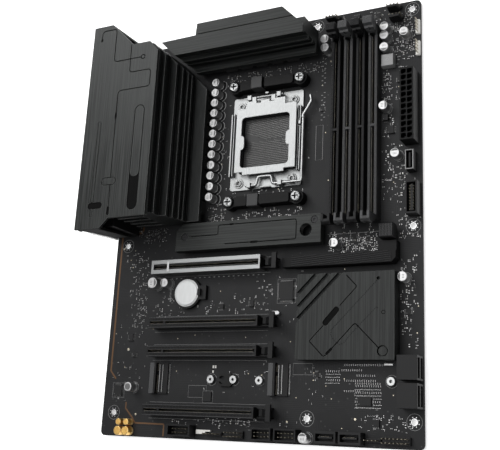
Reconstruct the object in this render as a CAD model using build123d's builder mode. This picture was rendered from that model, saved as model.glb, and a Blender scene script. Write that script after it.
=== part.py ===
from build123d import *
import os

os.makedirs("parts", exist_ok=True)

# Full-size desktop motherboard, built as separate pieces.
# All lengths are millimetres. Positions on the board are measured from its rear lower corner:
# X runs away from the rear connectors and Y runs towards the processor end. Heights are
# measured up from the board's top face. The origin of the model is the centre of the outer
# fixing holes, on the underside of the board.

# ---- Driving dimensions ----
BOARD_W = 243.84
BOARD_L = 304.8
BOARD_T = 1.6
BOARD_R = 3.5
HOLE_R = 1.98
HOLE_XS = (10.16, 165.10, 237.49)
HOLE_YS = (16.51, 140.97, 298.45)
ORIGIN_X = (HOLE_XS[0] + HOLE_XS[2]) / 2
ORIGIN_Y = (HOLE_YS[0] + HOLE_YS[2]) / 2
TAIL = 2.2              # pegs, solder tails and backplate all end this far below the board
PEG_R = 1.0
PEG_GAP = 0.15
GAP = 0.3               # clearance between pieces that move against each other

# Rear connectors, shield and cover
SHIELD_X = -2.2         # outer face of the rear shield
SHIELD_T = 0.5
SHIELD_Y = (147.2, 303.2)
SHIELD_H = (-2.0, 42.3)
PORT_FRONT = -2.7
PORT_BACK = 19.5
COVER_TOP = 50.0
COVER_T = 2.0
COVER_X = (-2.8, 59.3)
COVER_Y = (143.2, 305.2)

# Heatsinks on the power stages
SINK_Y = (153.2, 284.0)
SINK_SPINE = 48.0
SINK_BASE = 8.0
LEDGES = ((60.7, 42.9, 1.7), (65.1, 33.6, 1.1), (66.7, 27.3, 1.1), (68.2, 21.7, 0.8), (69.5, 18.1, 1.0))
LEDGE_LIP = 2.0
LOW_LEDGE = (79.2, 11.9)
MITRE_LEFT = 336.6      # x + y on the mitre that ends the left heatsink
MITRE_TOP = 341.0       # x + y on the mitre that ends the top heatsink
TOP_SINK_H = 36.0
TOP_FINS = ((275.7, 26.5), (276.0, 19.6))
CHOKE = (10.0, 10.0, 7.0)
LEFT_CHOKES = [(72.0, 166.0 + 12.0 * i) for i in range(8)]
TOP_CHOKES = [(94.0 + 13.0 * i, 279.0) for i in range(5)]
LEFT_STAGES = [(56.0, 166.0 + 12.0 * i) for i in range(8)]
TOP_STAGES = [(94.0 + 13.0 * i, 290.0) for i in range(5)]
STAGE = (6.0, 5.0, 1.0)
PAD_T = 1.0

# Capacitors: radius and height of the common can, then positions
CAN_R = 3.25
CAN_H = 8.5
CAN_GROOVE = 0.25
SOCKET_CANS = [(84.6, 263.0 - 8.28 * i) for i in range(12)]
OTHER_CANS = ((174.2, 283.4), (174.5, 276.6), (219.4, 285.0), (219.4, 278.2), (219.4, 269.2), (233.7, 278.5),
              (218.9, 225.4), (227.3, 190.2), (184.5, 131.4), (51.0, 109.5), (232.3, 106.3), (165.8, 4.2),
              (26.5, 34.6))
BIG_CANS = ((40.7, 109.8),)
BIG_CAN_R = 4.0
GOLD_CANS = ((19.2, 3.9, 3.1), (25.8, 3.9, 3.1), (19.4, 10.0, 2.3), (26.0, 10.0, 2.3))
GOLD_H = 6.7

# Processor socket
SOCKET_X = 128.3
SOCKET_Y = 211.5
COOLER_PITCH = (54.0, 90.0)
SCREW_PITCH = (43.2, 60.2)
SCREW_CENTRE = (127.4, 211.9)
BASE_SIDE = 44.0
FIELD_SIDE = 38.4
WINDOW = 39.2
PLATE_H = 5.9           # underside of the load plate
PLATE_T = 1.2
PLATE_HINGE = (246.6, 5.2)      # y and height of the load plate's pin
LEVER_AXIS = (178.6, 4.4)       # y and height of the lever's axle
LEVER_R = 1.1
LEVER_X = 157.6
BAIL_X = (121.5, 135.0)
BAIL_REACH = 6.2

# Memory slots
DIMM_XS = [184.0 + 9.25 * i for i in range(4)]
DIMM_W = 6.4
DIMM_H = 9.0
DIMM_Y = (148.0, 279.0)
DIMM_TOWER_Y = (141.4, 148.0)
DIMM_TOWER_H = 22.4
DIMM_KEY_Y = 211.8
DIMM_GROOVE = 1.5
DIMM_MOUTH = 2.8        # wider mouth over the card's groove
LATCH_PIVOT = (284.6, 3.6)      # y and height of the memory latch pins
CHEEK_END = 287.0

# Expansion slots
SLOT_YS = (120.60, 79.96, 59.64, 19.00)
SLOT_X = (42.2, 131.2)
SLOT_W = 7.2
SLOT_H = 11.2
SLOT_KEY_X = 55.8
SLOT_GROOVE = 1.8
SLOT_LATCH_PIVOT = (137.0, 2.6)  # x and height of the card latch pins
LATCH_H = 13.6
SHELL_W = 10.0
RELEASE_X = (153.8, 228.4)
RELEASE_H = 9.4
BUTTON_X = (217.6, 227.2)
BUTTON_Y = (131.9, 141.6)

# Flat heatsinks
M2_SINK_X = (60.7, 176.2)
M2_SINK_Y = (131.3, 151.9)
M2_SINK_H = (5.4, 11.0)
M2_SCREWS = ((68.1, 142.1, 3.0), (171.4, 147.7, 2.6))
CHIP_SINK_X = (160.0, 228.2)
CHIP_SINK_Y = (53.5, 110.0)
CHIP_SINK_H = (2.6, 11.0)

# Engraved decoration on the heatsinks and cover
ENGRAVE = 0.5
FINE_LINE = 0.55
MARK_LINE = 0.7

# Battery
CELL = (68.2, 102.1)
CELL_R = 10.0

# Holes for the plastic pegs and screws that pass through the board
DIMM_PEG_YS = (151.0, 213.6, 284.6)
DIMM_PEGS = [(x, y) for x in DIMM_XS for y in DIMM_PEG_YS]
SLOT_PEGS = [(x, y) for x in (45.0, 128.0) for y in SLOT_YS]
PORT_PEGS = [(12.0, y) for y in (155.0, 187.5, 206.8, 225.0, 258.0)]
POWER_PEGS = [(237.0, 202.0), (237.0, 243.8), (60.0, 297.0), (76.0, 297.0)]
PEGS = DIMM_PEGS + SLOT_PEGS + PORT_PEGS + POWER_PEGS
SCREW_HOLE_R = 1.9


def level(height):
    """Plane parallel to the board; its local axes are the board positions."""
    return Plane(origin=(-ORIGIN_X, -ORIGIN_Y, BOARD_T + height))


def across(x):
    """Plane square to X; its local axes are board Y and height, and its normal is +X."""
    return Plane(origin=(x - ORIGIN_X, -ORIGIN_Y, BOARD_T), x_dir=(0, 1, 0), z_dir=(1, 0, 0))


def along(y):
    """Plane square to Y; its local axes are board X and height, and its normal is -Y."""
    return Plane(origin=(-ORIGIN_X, y - ORIGIN_Y, BOARD_T), x_dir=(1, 0, 0), z_dir=(0, -1, 0))


def bar(plane, a, b, depth, mode=Mode.ADD):
    """Rectangle from a[0] to a[1] and b[0] to b[1] on the plane, extruded by depth."""
    with BuildSketch(plane) as face:
        with Locations(((a[0] + a[1]) / 2, (b[0] + b[1]) / 2)):
            Rectangle(a[1] - a[0], b[1] - b[0])
    extrude(face.sketch, amount=depth, mode=mode)


def block(x, y, h, mode=Mode.ADD):
    """Upright block between two board X, two board Y and two heights."""
    bar(level(h[0]), x, y, h[1] - h[0], mode)


def discs(points, radius, h, mode=Mode.ADD):
    """Upright cylinders of one radius at several board positions."""
    with BuildSketch(level(h[0])) as face:
        with Locations(*points):
            Circle(radius)
    extrude(face.sketch, amount=h[1] - h[0], mode=mode)


def blocks(points, size, h, mode=Mode.ADD):
    """Upright blocks of one size centred on several board positions."""
    with BuildSketch(level(h[0])) as face:
        with Locations(*points):
            Rectangle(size[0], size[1])
    extrude(face.sketch, amount=h[1] - h[0], mode=mode)


def pegs(points):
    """Plastic pegs through the board."""
    discs(points, PEG_R, (-BOARD_T - TAIL, 0))


def rounded(x, y, radius, h, mode=Mode.ADD):
    """Upright block with rounded upright corners."""
    with BuildSketch(level(h[0])) as face:
        with Locations(((x[0] + x[1]) / 2, (y[0] + y[1]) / 2)):
            RectangleRounded(x[1] - x[0], y[1] - y[0], radius)
    extrude(face.sketch, amount=h[1] - h[0], mode=mode)


def engrave_line(points, width, top, corner=1.5):
    """Cut a line with rounded corners into a flat top."""
    with BuildSketch(level(top - ENGRAVE)) as mark:
        with BuildLine():
            if len(points) == 2:
                Line(*points)
            else:
                FilletPolyline(*points, radius=corner)
        trace(line_width=width)
    extrude(mark.sketch, amount=ENGRAVE, mode=Mode.SUBTRACT)


def engrave_slot(start, end, width, top, line=0.0):
    """Cut a round-ended slot into a flat top, or only its outline of the given line width."""
    with BuildSketch(level(top - ENGRAVE)) as mark:
        with BuildLine():
            Line(start, end)
        trace(line_width=width)
        with Locations(start, end):
            Circle(width / 2)
    extrude(mark.sketch, amount=ENGRAVE, mode=Mode.SUBTRACT)
    if line:
        with BuildSketch(level(top - ENGRAVE)) as island:
            with BuildLine():
                Line(start, end)
            trace(line_width=width - 2 * line)
            with Locations(start, end):
                Circle(width / 2 - line)
        extrude(island.sketch, amount=ENGRAVE)


def save(piece, label):
    """Label a finished piece and write it out."""
    piece.part.label = label
    export_step(piece.part, "parts/" + label + ".step")


# ---- Printed circuit board ----
with BuildPart() as pcb:
    with BuildSketch(level(-BOARD_T)):
        with Locations((BOARD_W / 2, BOARD_L / 2)):
            RectangleRounded(BOARD_W, BOARD_L, BOARD_R)
        with Locations(*[(x, y) for x in HOLE_XS for y in HOLE_YS]):
            Circle(HOLE_R, mode=Mode.SUBTRACT)
        with Locations(*PEGS):
            Circle(PEG_R + PEG_GAP, mode=Mode.SUBTRACT)
        with Locations(SCREW_CENTRE):
            with GridLocations(SCREW_PITCH[0], SCREW_PITCH[1], 2, 2):
                Circle(SCREW_HOLE_R, mode=Mode.SUBTRACT)
        with Locations((SOCKET_X, SOCKET_Y)):
            with GridLocations(COOLER_PITCH[0], COOLER_PITCH[1], 2, 2):
                Circle(SCREW_HOLE_R, mode=Mode.SUBTRACT)
    extrude(amount=BOARD_T)
save(pcb, "pcb")

# ---- Rear connectors ----
USB_STACKS = ((207.0, 29.0), (225.2, 29.0), (187.5, 15.4))
USB_W = 14.4
USB_MOUTH = (12.6, 5.2)
USB_BACK = 17.5
with BuildPart() as usb_a_ports:
    for y, top in USB_STACKS:
        block((PORT_FRONT, PORT_BACK), (y - USB_W / 2, y + USB_W / 2), (0, top))
        for level_index in range(2):
            mouth_h = 2.0 + level_index * (top - USB_MOUTH[1] - 4.0)
            bar(across(PORT_FRONT), (y - USB_MOUTH[0] / 2, y + USB_MOUTH[0] / 2),
                (mouth_h, mouth_h + USB_MOUTH[1]), USB_BACK, Mode.SUBTRACT)
            bar(across(PORT_FRONT + 1.0), (y - USB_MOUTH[0] / 2 + 0.7, y + USB_MOUTH[0] / 2 - 0.7),
                (mouth_h + 2.6, mouth_h + 4.3), USB_BACK)
    pegs([(12.0, 206.8), (12.0, 225.0), (12.0, 187.5)])
save(usb_a_ports, "usb_a_ports")

USB_C_HEIGHTS = (3.2, 13.2)
USB_C_Y = 241.5
with BuildPart() as usb_c_ports:
    block((PORT_FRONT, 12.0), (USB_C_Y - 6.0, USB_C_Y + 6.0), (0, 19.0))
    with BuildSketch(across(PORT_FRONT)):
        with Locations(*[(USB_C_Y, h + 1.6) for h in USB_C_HEIGHTS]):
            SlotOverall(8.4, 2.8)
    extrude(amount=6.5, mode=Mode.SUBTRACT)
    for h in USB_C_HEIGHTS:
        bar(across(PORT_FRONT + 1.0), (USB_C_Y - 3.3, USB_C_Y + 3.3), (h + 1.25, h + 1.95), 6.0)
save(usb_c_ports, "usb_c_ports")

LAN_MOUTH = (181.6, 193.4)
with BuildPart() as ethernet_port:
    block((PORT_FRONT, PORT_BACK), (179.5, 195.5), (15.6, 29.6))
    bar(across(PORT_FRONT), LAN_MOUTH, (18.0, 26.2), 15.0, Mode.SUBTRACT)
    bar(across(PORT_FRONT), (184.6, 190.4), (26.2, 28.2), 12.0, Mode.SUBTRACT)
save(ethernet_port, "ethernet_port")

with BuildPart() as video_ports:
    block((PORT_FRONT, 14.0), (249.6, 266.4), (0, 19.6))
    with BuildSketch(across(PORT_FRONT)):
        with Locations((258.0, 4.6)):
            Trapezoid(14.2, 4.6, 70)
        with Locations((258.0, 13.6)):
            Rectangle(16.0 - 0.4, 4.8)
    extrude(amount=9.0, mode=Mode.SUBTRACT)
    bar(across(PORT_FRONT + 1.0), (252.4, 263.6), (4.2, 5.0), 8.5)
    bar(across(PORT_FRONT + 1.0), (252.0, 264.0), (13.2, 14.2), 8.5)
    pegs([(12.0, 258.0)])
save(video_ports, "video_ports")

JACK_HEIGHTS = (6.0, 17.0, 28.0)
JACK_DEPTHS = (14.0, 13.2, 12.4)
JACK_STACKS = ((155.0, 3), (168.4, 2))
JACK_SIDE = 12.8
with BuildPart() as audio_jacks:
    for y, rows in JACK_STACKS:
        block((0.0, PORT_BACK), (y - JACK_SIDE / 2, y + JACK_SIDE / 2), (0, JACK_HEIGHTS[rows - 1] + 5.4))
        for h in JACK_HEIGHTS[:rows]:
            with BuildSketch(across(PORT_FRONT)):
                with Locations((y, h)):
                    Circle(3.9)
            extrude(amount=4.0)
        for h, depth in zip(JACK_HEIGHTS[:rows], JACK_DEPTHS):
            with BuildSketch(across(PORT_FRONT)):
                with Locations((y, h)):
                    Circle(1.8)
            extrude(amount=depth, mode=Mode.SUBTRACT)
    pegs([(12.0, 155.0)])
save(audio_jacks, "audio_jacks")

ANTENNA_POINTS = ((280.0, 7.0), (280.0, 21.0))
ANTENNA_R = 3.15
ANTENNA_TIP = -12.2
ANTENNA_ROOT = -3.2
with BuildPart() as antenna_posts:
    block((0.6, 12.0), (274.6, 285.4), (0, 26.6))
    with BuildSketch(across(ANTENNA_ROOT)):
        with Locations(*ANTENNA_POINTS):
            Circle(3.5)
    extrude(amount=4.0)
    with BuildSketch(across(ANTENNA_TIP)):
        with Locations(*ANTENNA_POINTS):
            Circle(ANTENNA_R)
    extrude(amount=ANTENNA_ROOT - ANTENNA_TIP)
    with BuildSketch(across(ANTENNA_TIP)):
        with Locations(*ANTENNA_POINTS):
            Circle(0.7)
    extrude(amount=6.0, mode=Mode.SUBTRACT)
save(antenna_posts, "antenna_posts")

BIOS_BUTTON = (294.0, 9.0)
with BuildPart() as bios_button:
    with BuildSketch(across(PORT_FRONT - 1.0)):
        with Locations(BIOS_BUTTON):
            Circle(2.2)
    extrude(amount=5.0)
    with BuildSketch(across(-0.6)):
        with Locations(BIOS_BUTTON):
            Circle(2.9)
    extrude(amount=1.2)
save(bios_button, "bios_button")

with BuildPart() as io_shield:
    bar(across(SHIELD_X), SHIELD_Y, SHIELD_H, SHIELD_T)
    for y, top in USB_STACKS[:2]:
        bar(across(SHIELD_X), (y - USB_W / 2 - 0.2, y + USB_W / 2 + 0.2), (-0.2, top + 0.2), SHIELD_T,
            Mode.SUBTRACT)
    bar(across(SHIELD_X), (179.3, 195.7), (-0.2, 29.8), SHIELD_T, Mode.SUBTRACT)
    bar(across(SHIELD_X), (USB_C_Y - 6.2, USB_C_Y + 6.2), (-0.2, 19.2), SHIELD_T, Mode.SUBTRACT)
    bar(across(SHIELD_X), (249.4, 266.6), (-0.2, 19.8), SHIELD_T, Mode.SUBTRACT)
    with BuildSketch(across(SHIELD_X)):
        with Locations(*[(y, h) for y, rows in JACK_STACKS for h in JACK_HEIGHTS[:rows]]):
            Circle(4.1)
        with Locations(*ANTENNA_POINTS):
            Circle(3.7)
        with Locations(BIOS_BUTTON):
            Circle(2.2 + GAP)
    extrude(amount=SHIELD_T, mode=Mode.SUBTRACT)
    with BuildSketch(across(SHIELD_X)):
        with Locations((240.0, 33.5)):
            with GridLocations(9.0, 7.0, 12, 2):
                RectangleRounded(6.0, 3.4, 1.2)
    extrude(amount=SHIELD_T, mode=Mode.SUBTRACT)
save(io_shield, "io_shield")

# ---- Cover over the rear connectors ----
COVER_CORNER = ((19.6, 143.2), (26.5, 150.2))
COVER_STEP = ((50.4, 285.2), (35.0, 285.2), (14.6, 305.2))
with BuildPart() as io_cover:
    with BuildSketch(level(COVER_TOP - COVER_T)):
        with BuildLine():
            Polyline((COVER_X[0], COVER_Y[0]), COVER_CORNER[0], COVER_CORNER[1], (COVER_X[1], 150.2),
                     (COVER_X[1], 275.6), *COVER_STEP, (COVER_X[0], COVER_Y[1]), close=True)
        make_face()
    extrude(amount=COVER_T)
    chamfer(edges().filter_by(Axis.Y).group_by(Axis.Z)[-1].sort_by(Axis.X)[-1], length=1.2)
    # engraved circuit-like decoration
    engrave_line([(5.2, 293.4), (5.2, 301.0), (18.6, 301.0), (18.8, 273.3), (43.4, 273.3)],
                 MARK_LINE, COVER_TOP, 2.6)
    engrave_slot((5.2, 293.3), (5.2, 293.9), 2.0, COVER_TOP)
    engrave_slot((45.2, 273.3), (45.4, 273.3), 3.8, COVER_TOP, 0.7)
    engrave_line([(33.8, 285.2), (34.2, 262.2), (53.2, 262.2), (53.2, 248.6), (25.2, 248.6), (25.2, 230.0)],
                 MARK_LINE, COVER_TOP, 2.4)
    engrave_slot((25.2, 227.0), (25.2, 230.4), 1.9, COVER_TOP)
    engrave_line([(25.2, 227.0), (26.0, 158.0)], MARK_LINE, COVER_TOP)
    engrave_slot((26.0, 153.4), (26.0, 157.6), 2.4, COVER_TOP)
    engrave_slot((10.8, 164.0), (10.8, 224.4), 2.9, COVER_TOP, FINE_LINE)
    engrave_slot((9.8, 160.2), (17.8, 160.2), 5.0, COVER_TOP)
    engrave_slot((10.8, 153.2), (10.8, 157.2), 2.9, COVER_TOP, FINE_LINE)
    engrave_slot((20.6, 177.9), (27.6, 177.9), 6.0, COVER_TOP, FINE_LINE)
    engrave_slot((46.5, 159.2), (46.5, 230.2), 8.9, COVER_TOP)
    with BuildSketch(level(COVER_TOP - ENGRAVE)):
        with Locations((46.5, 206.8)):
            SlotOverall(54.4, 7.5, rotation=90)
    extrude(amount=ENGRAVE)
    bar(across(COVER_X[0]), (143.8, COVER_Y[1]), (SHIELD_H[1], COVER_TOP - COVER_T), 1.6)
    bar(along(COVER_Y[1]), (COVER_X[0], 14.6), (8.0, COVER_TOP - COVER_T), 1.6)
    with BuildSketch(across(COVER_X[0] + 1.6)):
        with BuildLine():
            Polyline((143.6, COVER_TOP - COVER_T), (147.0, 4.0), (148.0, 4.0), (146.0, COVER_TOP - COVER_T),
                     close=True)
        make_face()
    extrude(amount=16.0)
save(io_cover, "io_cover")


# ---- Power stage heatsinks ----
def mitre(total, keep_low):
    """Block to one side of the upright plane where x + y is the total."""
    reach = 200.0
    with BuildSketch(level(-1.0)) as side:
        with BuildLine():
            if keep_low:
                Polyline((total - 400, 400), (total - 100, 100), (total - 100 + reach, 100 + reach),
                         (total - 400 + reach, 400 + reach), close=True)
            else:
                Polyline((total - 400, 400), (total - 100, 100), (total - 100 - reach, 100 - reach),
                         (total - 400 - reach, 400 - reach), close=True)
        make_face()
    extrude(side.sketch, amount=60.0, mode=Mode.SUBTRACT)


SINK_LEN = SINK_Y[1] - SINK_Y[0]
SINK_TOP = COVER_TOP - COVER_T
SINK_FINS = [SINK_BASE + 8.2 * i for i in range(5)]
with BuildPart() as vrm_heatsink_left:
    bar(along(SINK_Y[1]), (SINK_SPINE, 57.7), (SINK_BASE, SINK_TOP), SINK_LEN)
    for right, top, inset in LEDGES:
        bar(along(SINK_Y[1]), (SINK_SPINE, right), (top - LEDGE_LIP, top), SINK_LEN)
        bar(along(SINK_Y[1]), (SINK_SPINE, right - inset), (SINK_BASE, top - LEDGE_LIP), SINK_LEN)
    bar(along(SINK_Y[1]), (SINK_SPINE, LOW_LEDGE[0]), (SINK_BASE, LOW_LEDGE[1]), SINK_LEN)
    for height in SINK_FINS:
        bar(along(SINK_Y[1]), (24.0, SINK_SPINE), (height, height + 2.6), SINK_LEN)
    bar(along(SINK_Y[1]), (51.0, 62.0), (STAGE[2] + PAD_T, SINK_BASE), SINK_LEN - 26.0)
    mitre(MITRE_LEFT, True)
save(vrm_heatsink_left, "vrm_heatsink_left")

TOP_SINK_X = (51.0, 169.5)
with BuildPart() as vrm_heatsink_top:
    length = TOP_SINK_X[1] - TOP_SINK_X[0]
    with BuildSketch(level(TOP_SINK_H - 2.6)):
        with BuildLine():
            Polyline((63.8, 277.2), (TOP_SINK_X[1], 277.2), (TOP_SINK_X[1], 283.4), (152.8, 300.0),
                     (82.0, 300.0), (81.2, 290.6), (TOP_SINK_X[0], 290.0), close=True)
        make_face()
    extrude(amount=2.6)
    bar(across(TOP_SINK_X[0]), (279.0, 290.0), (SINK_BASE, TOP_SINK_H - 2.6), length)
    for front, top in TOP_FINS:
        bar(across(TOP_SINK_X[0]), (front, 290.0), (top - LEDGE_LIP, top), length)
    bar(across(TOP_SINK_X[0]), (271.4, 290.0), (SINK_BASE, 13.0), length)
    for height in (SINK_BASE, 16.0, 24.0):
        bar(across(86.0), (290.0, 299.0), (height, height + 2.2), 64.0)
    bar(across(88.0), (286.6, 293.4), (STAGE[2] + PAD_T, SINK_BASE), 64.0)
    mitre(MITRE_TOP, False)
    engrave_line([(83.0, 291.2), (162.0, 291.2)], MARK_LINE, TOP_SINK_H)
save(vrm_heatsink_top, "vrm_heatsink_top")

with BuildPart() as thermal_pads:
    bar(level(CHOKE[2]), (67.0, 77.0), (160.0, 256.0), PAD_T)
    bar(level(CHOKE[2]), (88.0, 152.0), (274.2, 284.0), PAD_T)
    bar(level(STAGE[2]), (52.0, 60.0), (162.0, 255.0), PAD_T)
    bar(level(STAGE[2]), (90.0, 150.0), (287.0, 293.0), PAD_T)
save(thermal_pads, "thermal_pads")

with BuildPart() as vrm_chokes:
    blocks(LEFT_CHOKES + TOP_CHOKES, CHOKE, (0, CHOKE[2]))
    chamfer(edges().filter_by(Axis.Z), length=0.8)
save(vrm_chokes, "vrm_chokes")


# ---- Capacitors ----
def cans(points, radius, height):
    """Capacitor cans with the rolled groove near the base."""
    discs(points, radius, (0, 1.2))
    discs(points, radius - CAN_GROOVE, (1.2, 2.0))
    discs(points, radius, (2.0, height))


with BuildPart() as socket_capacitors:
    cans(SOCKET_CANS, CAN_R, CAN_H)
    fillet(edges().filter_by(GeomType.CIRCLE).group_by(Axis.Z)[-1], radius=0.4)
save(socket_capacitors, "socket_capacitors")

with BuildPart() as board_capacitors:
    cans(OTHER_CANS, CAN_R, CAN_H)
    cans(BIG_CANS, BIG_CAN_R, CAN_H)
    fillet(edges().filter_by(GeomType.CIRCLE).group_by(Axis.Z)[-1], radius=0.4)
save(board_capacitors, "board_capacitors")

with BuildPart() as audio_capacitors:
    for x, y, radius in GOLD_CANS:
        cans([(x, y)], radius, GOLD_H)
    fillet(edges().filter_by(GeomType.CIRCLE).group_by(Axis.Z)[-1], radius=0.3)
save(audio_capacitors, "audio_capacitors")


# ---- Power connectors ----
def power_header(x, y, rows, columns, pitch, height):
    """Shrouded power header: wells in a grid, each with its square pin."""
    width = columns * pitch + 1.2
    length = rows * pitch + 1.2
    block((x - width / 2, x + width / 2), (y - length / 2, y + length / 2), (0, height))
    with BuildSketch(level(2.5)) as wells:
        with Locations((x, y)):
            with GridLocations(pitch, pitch, columns, rows):
                RectangleRounded(pitch - 0.8, pitch - 0.8, 0.6)
    extrude(wells.sketch, amount=height - 2.5, mode=Mode.SUBTRACT)
    with BuildSketch(level(2.0)) as pins:
        with Locations((x, y)):
            with GridLocations(pitch, pitch, columns, rows):
                Rectangle(1.0, 1.0)
    extrude(pins.sketch, amount=height - 5.0)


with BuildPart() as atx_power_connector:
    power_header(237.0, 222.9, 12, 2, 4.2, 12.8)
    block((231.2, 232.8), (219.0, 226.8), (6.0, 10.0))
    pegs([(237.0, 202.0), (237.0, 243.8)])
save(atx_power_connector, "atx_power_connector")

with BuildPart() as cpu_power_connectors:
    power_header(60.0, 297.0, 2, 4, 4.2, 12.8)
    power_header(76.0 + 2.6, 297.0, 2, 2, 4.2, 12.8)
    pegs([(60.0, 297.0), (76.0, 297.0)])
save(cpu_power_connectors, "cpu_power_connectors")

# ---- Processor socket ----
BASE_X = (SOCKET_X - BASE_SIDE / 2, SOCKET_X + BASE_SIDE / 2)
BASE_Y = (SOCKET_Y - BASE_SIDE / 2, SOCKET_Y + BASE_SIDE / 2)
FIELD_X = (SOCKET_X - FIELD_SIDE / 2, SOCKET_X + FIELD_SIDE / 2)
FIELD_Y = (SOCKET_Y - FIELD_SIDE / 2, SOCKET_Y + FIELD_SIDE / 2)
with BuildPart() as cpu_socket_body:
    block(BASE_X, BASE_Y, (0, 4.2))
    block((FIELD_X[0] - 0.1, FIELD_X[1] + 0.1), (FIELD_Y[0] - 0.1, FIELD_Y[1] + 0.1), (1.4, 4.2),
          Mode.SUBTRACT)
save(cpu_socket_body, "cpu_socket_body")

with BuildPart() as cpu_contacts:
    block(FIELD_X, FIELD_Y, (1.4, 2.0))
save(cpu_contacts, "cpu_contacts")

FRAME_X = (98.4, 155.9)
FRAME_Y = (176.6, 249.4)
FRAME_T = 1.2
RAIL_H = 4.6
with BuildPart() as socket_frame:
    rounded(FRAME_X, FRAME_Y, 2.0, (0.2, 0.2 + FRAME_T))
    block((BASE_X[0] - GAP, BASE_X[1] + GAP), (BASE_Y[0] - GAP, BASE_Y[1] + GAP), (0, 3.0), Mode.SUBTRACT)
    with BuildSketch(level(0)):
        with Locations(SCREW_CENTRE):
            with GridLocations(SCREW_PITCH[0], SCREW_PITCH[1], 2, 2):
                Circle(SCREW_HOLE_R)
    extrude(amount=3.0, mode=Mode.SUBTRACT)
    # upturned rails on both sides, the lever's bearing lugs and the plate's hinge lugs
    for x, thick, rise in ((98.4, 1.0, 0), (101.0, 0.6, 0.6), (153.5, 0.6, 0.4), (154.8, 0.8, 0)):
        block((x, x + thick), (187.0, 236.0), (0.2, RAIL_H + rise))
    for x in (114.6, 139.6):
        block((x, x + 3.0), (LEVER_AXIS[0] - 1.8, LEVER_AXIS[0] + 1.8), (0.2, LEVER_AXIS[1] + 2.0))
        with BuildSketch(across(x - 1.0)):
            with Locations(LEVER_AXIS):
                Circle(LEVER_R + 0.15)
        extrude(amount=5.0, mode=Mode.SUBTRACT)
    block((124.0, 132.6), (176.6, 177.2), (0.2, 4.4))
    for x in (112.4, 136.6):
        block((x, x + 3.2), (PLATE_HINGE[0] - 1.8, PLATE_HINGE[0] + 1.8), (0.2, PLATE_HINGE[1] + 1.8))
        with BuildSketch(across(x - 1.0)):
            with Locations(PLATE_HINGE):
                Circle(LEVER_R + 0.15)
        extrude(amount=5.2, mode=Mode.SUBTRACT)
    block((127.4, 129.8), (248.0, FRAME_Y[1]), (0.2, 7.2))
    # catch beside the lever's arm
    block((154.8, LEVER_X - LEVER_R - GAP), (221.0, 223.8), (0.2, RAIL_H + 1.6))
save(socket_frame, "socket_frame")

PLATE_X = (104.2, 153.2)
PLATE_Y = (186.4, 238.2)
with BuildPart() as load_plate:
    rounded(PLATE_X, PLATE_Y, 1.5, (PLATE_H, PLATE_H + PLATE_T))
    block((112.0, 144.0), (236.0, 243.4), (PLATE_H, PLATE_H + PLATE_T))
    with BuildSketch(level(PLATE_H)):
        with Locations((SOCKET_X, SOCKET_Y)):
            RectangleRounded(WINDOW, WINDOW, 3.0)
        with Locations((SOCKET_X - WINDOW / 2, SOCKET_Y), (SOCKET_X + WINDOW / 2, SOCKET_Y)):
            SlotOverall(11.0, 5.2, rotation=90, mode=Mode.SUBTRACT)
    extrude(amount=PLATE_T, mode=Mode.SUBTRACT)
    # room for the lower screws and for the upper edge's stiffening notches
    block((144.4, 153.4), (186.0, 188.8), (PLATE_H, PLATE_H + PLATE_T), Mode.SUBTRACT)
    block((104.0, 111.0), (186.0, 188.8), (PLATE_H, PLATE_H + PLATE_T), Mode.SUBTRACT)
    block((120.2, 124.0), (241.6, 244.0), (PLATE_H, PLATE_H + PLATE_T), Mode.SUBTRACT)
    block((131.0, 135.0), (241.6, 244.0), (PLATE_H, PLATE_H + PLATE_T), Mode.SUBTRACT)
    # hinge arms that carry the pin
    for x in (116.6, 132.4):
        block((x, x + 3.2), (242.0, PLATE_HINGE[0]), (PLATE_H, PLATE_H + PLATE_T))
    with BuildSketch(across(111.0)):
        with Locations(PLATE_HINGE):
            Circle(LEVER_R)
    extrude(amount=30.4)
save(load_plate, "load_plate")

with BuildPart() as socket_lever:
    with BuildLine(level(LEVER_AXIS[1])):
        route = FilletPolyline((113.0, LEVER_AXIS[0]), (BAIL_X[0], LEVER_AXIS[0]),
                               (BAIL_X[0] + 1.5, LEVER_AXIS[0] + BAIL_REACH),
                               (BAIL_X[1] - 1.5, LEVER_AXIS[0] + BAIL_REACH), (BAIL_X[1], LEVER_AXIS[0]),
                               (LEVER_X, LEVER_AXIS[0]), (LEVER_X, 228.6), (LEVER_X + 3.2, 233.4),
                               (LEVER_X + 6.0, 238.2), (LEVER_X + 5.2, 242.8), radius=1.6)
    with BuildSketch(Plane(origin=route @ 0, z_dir=route % 0)):
        Circle(LEVER_R)
    sweep()
    # collar below the bent handle
    with BuildSketch(Plane(origin=level(LEVER_AXIS[1]).from_local_coords((LEVER_X, 225.8)), z_dir=(0, 1, 0))):
        Circle(LEVER_R + 0.45)
    extrude(amount=2.0)
save(socket_lever, "socket_lever")

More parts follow.
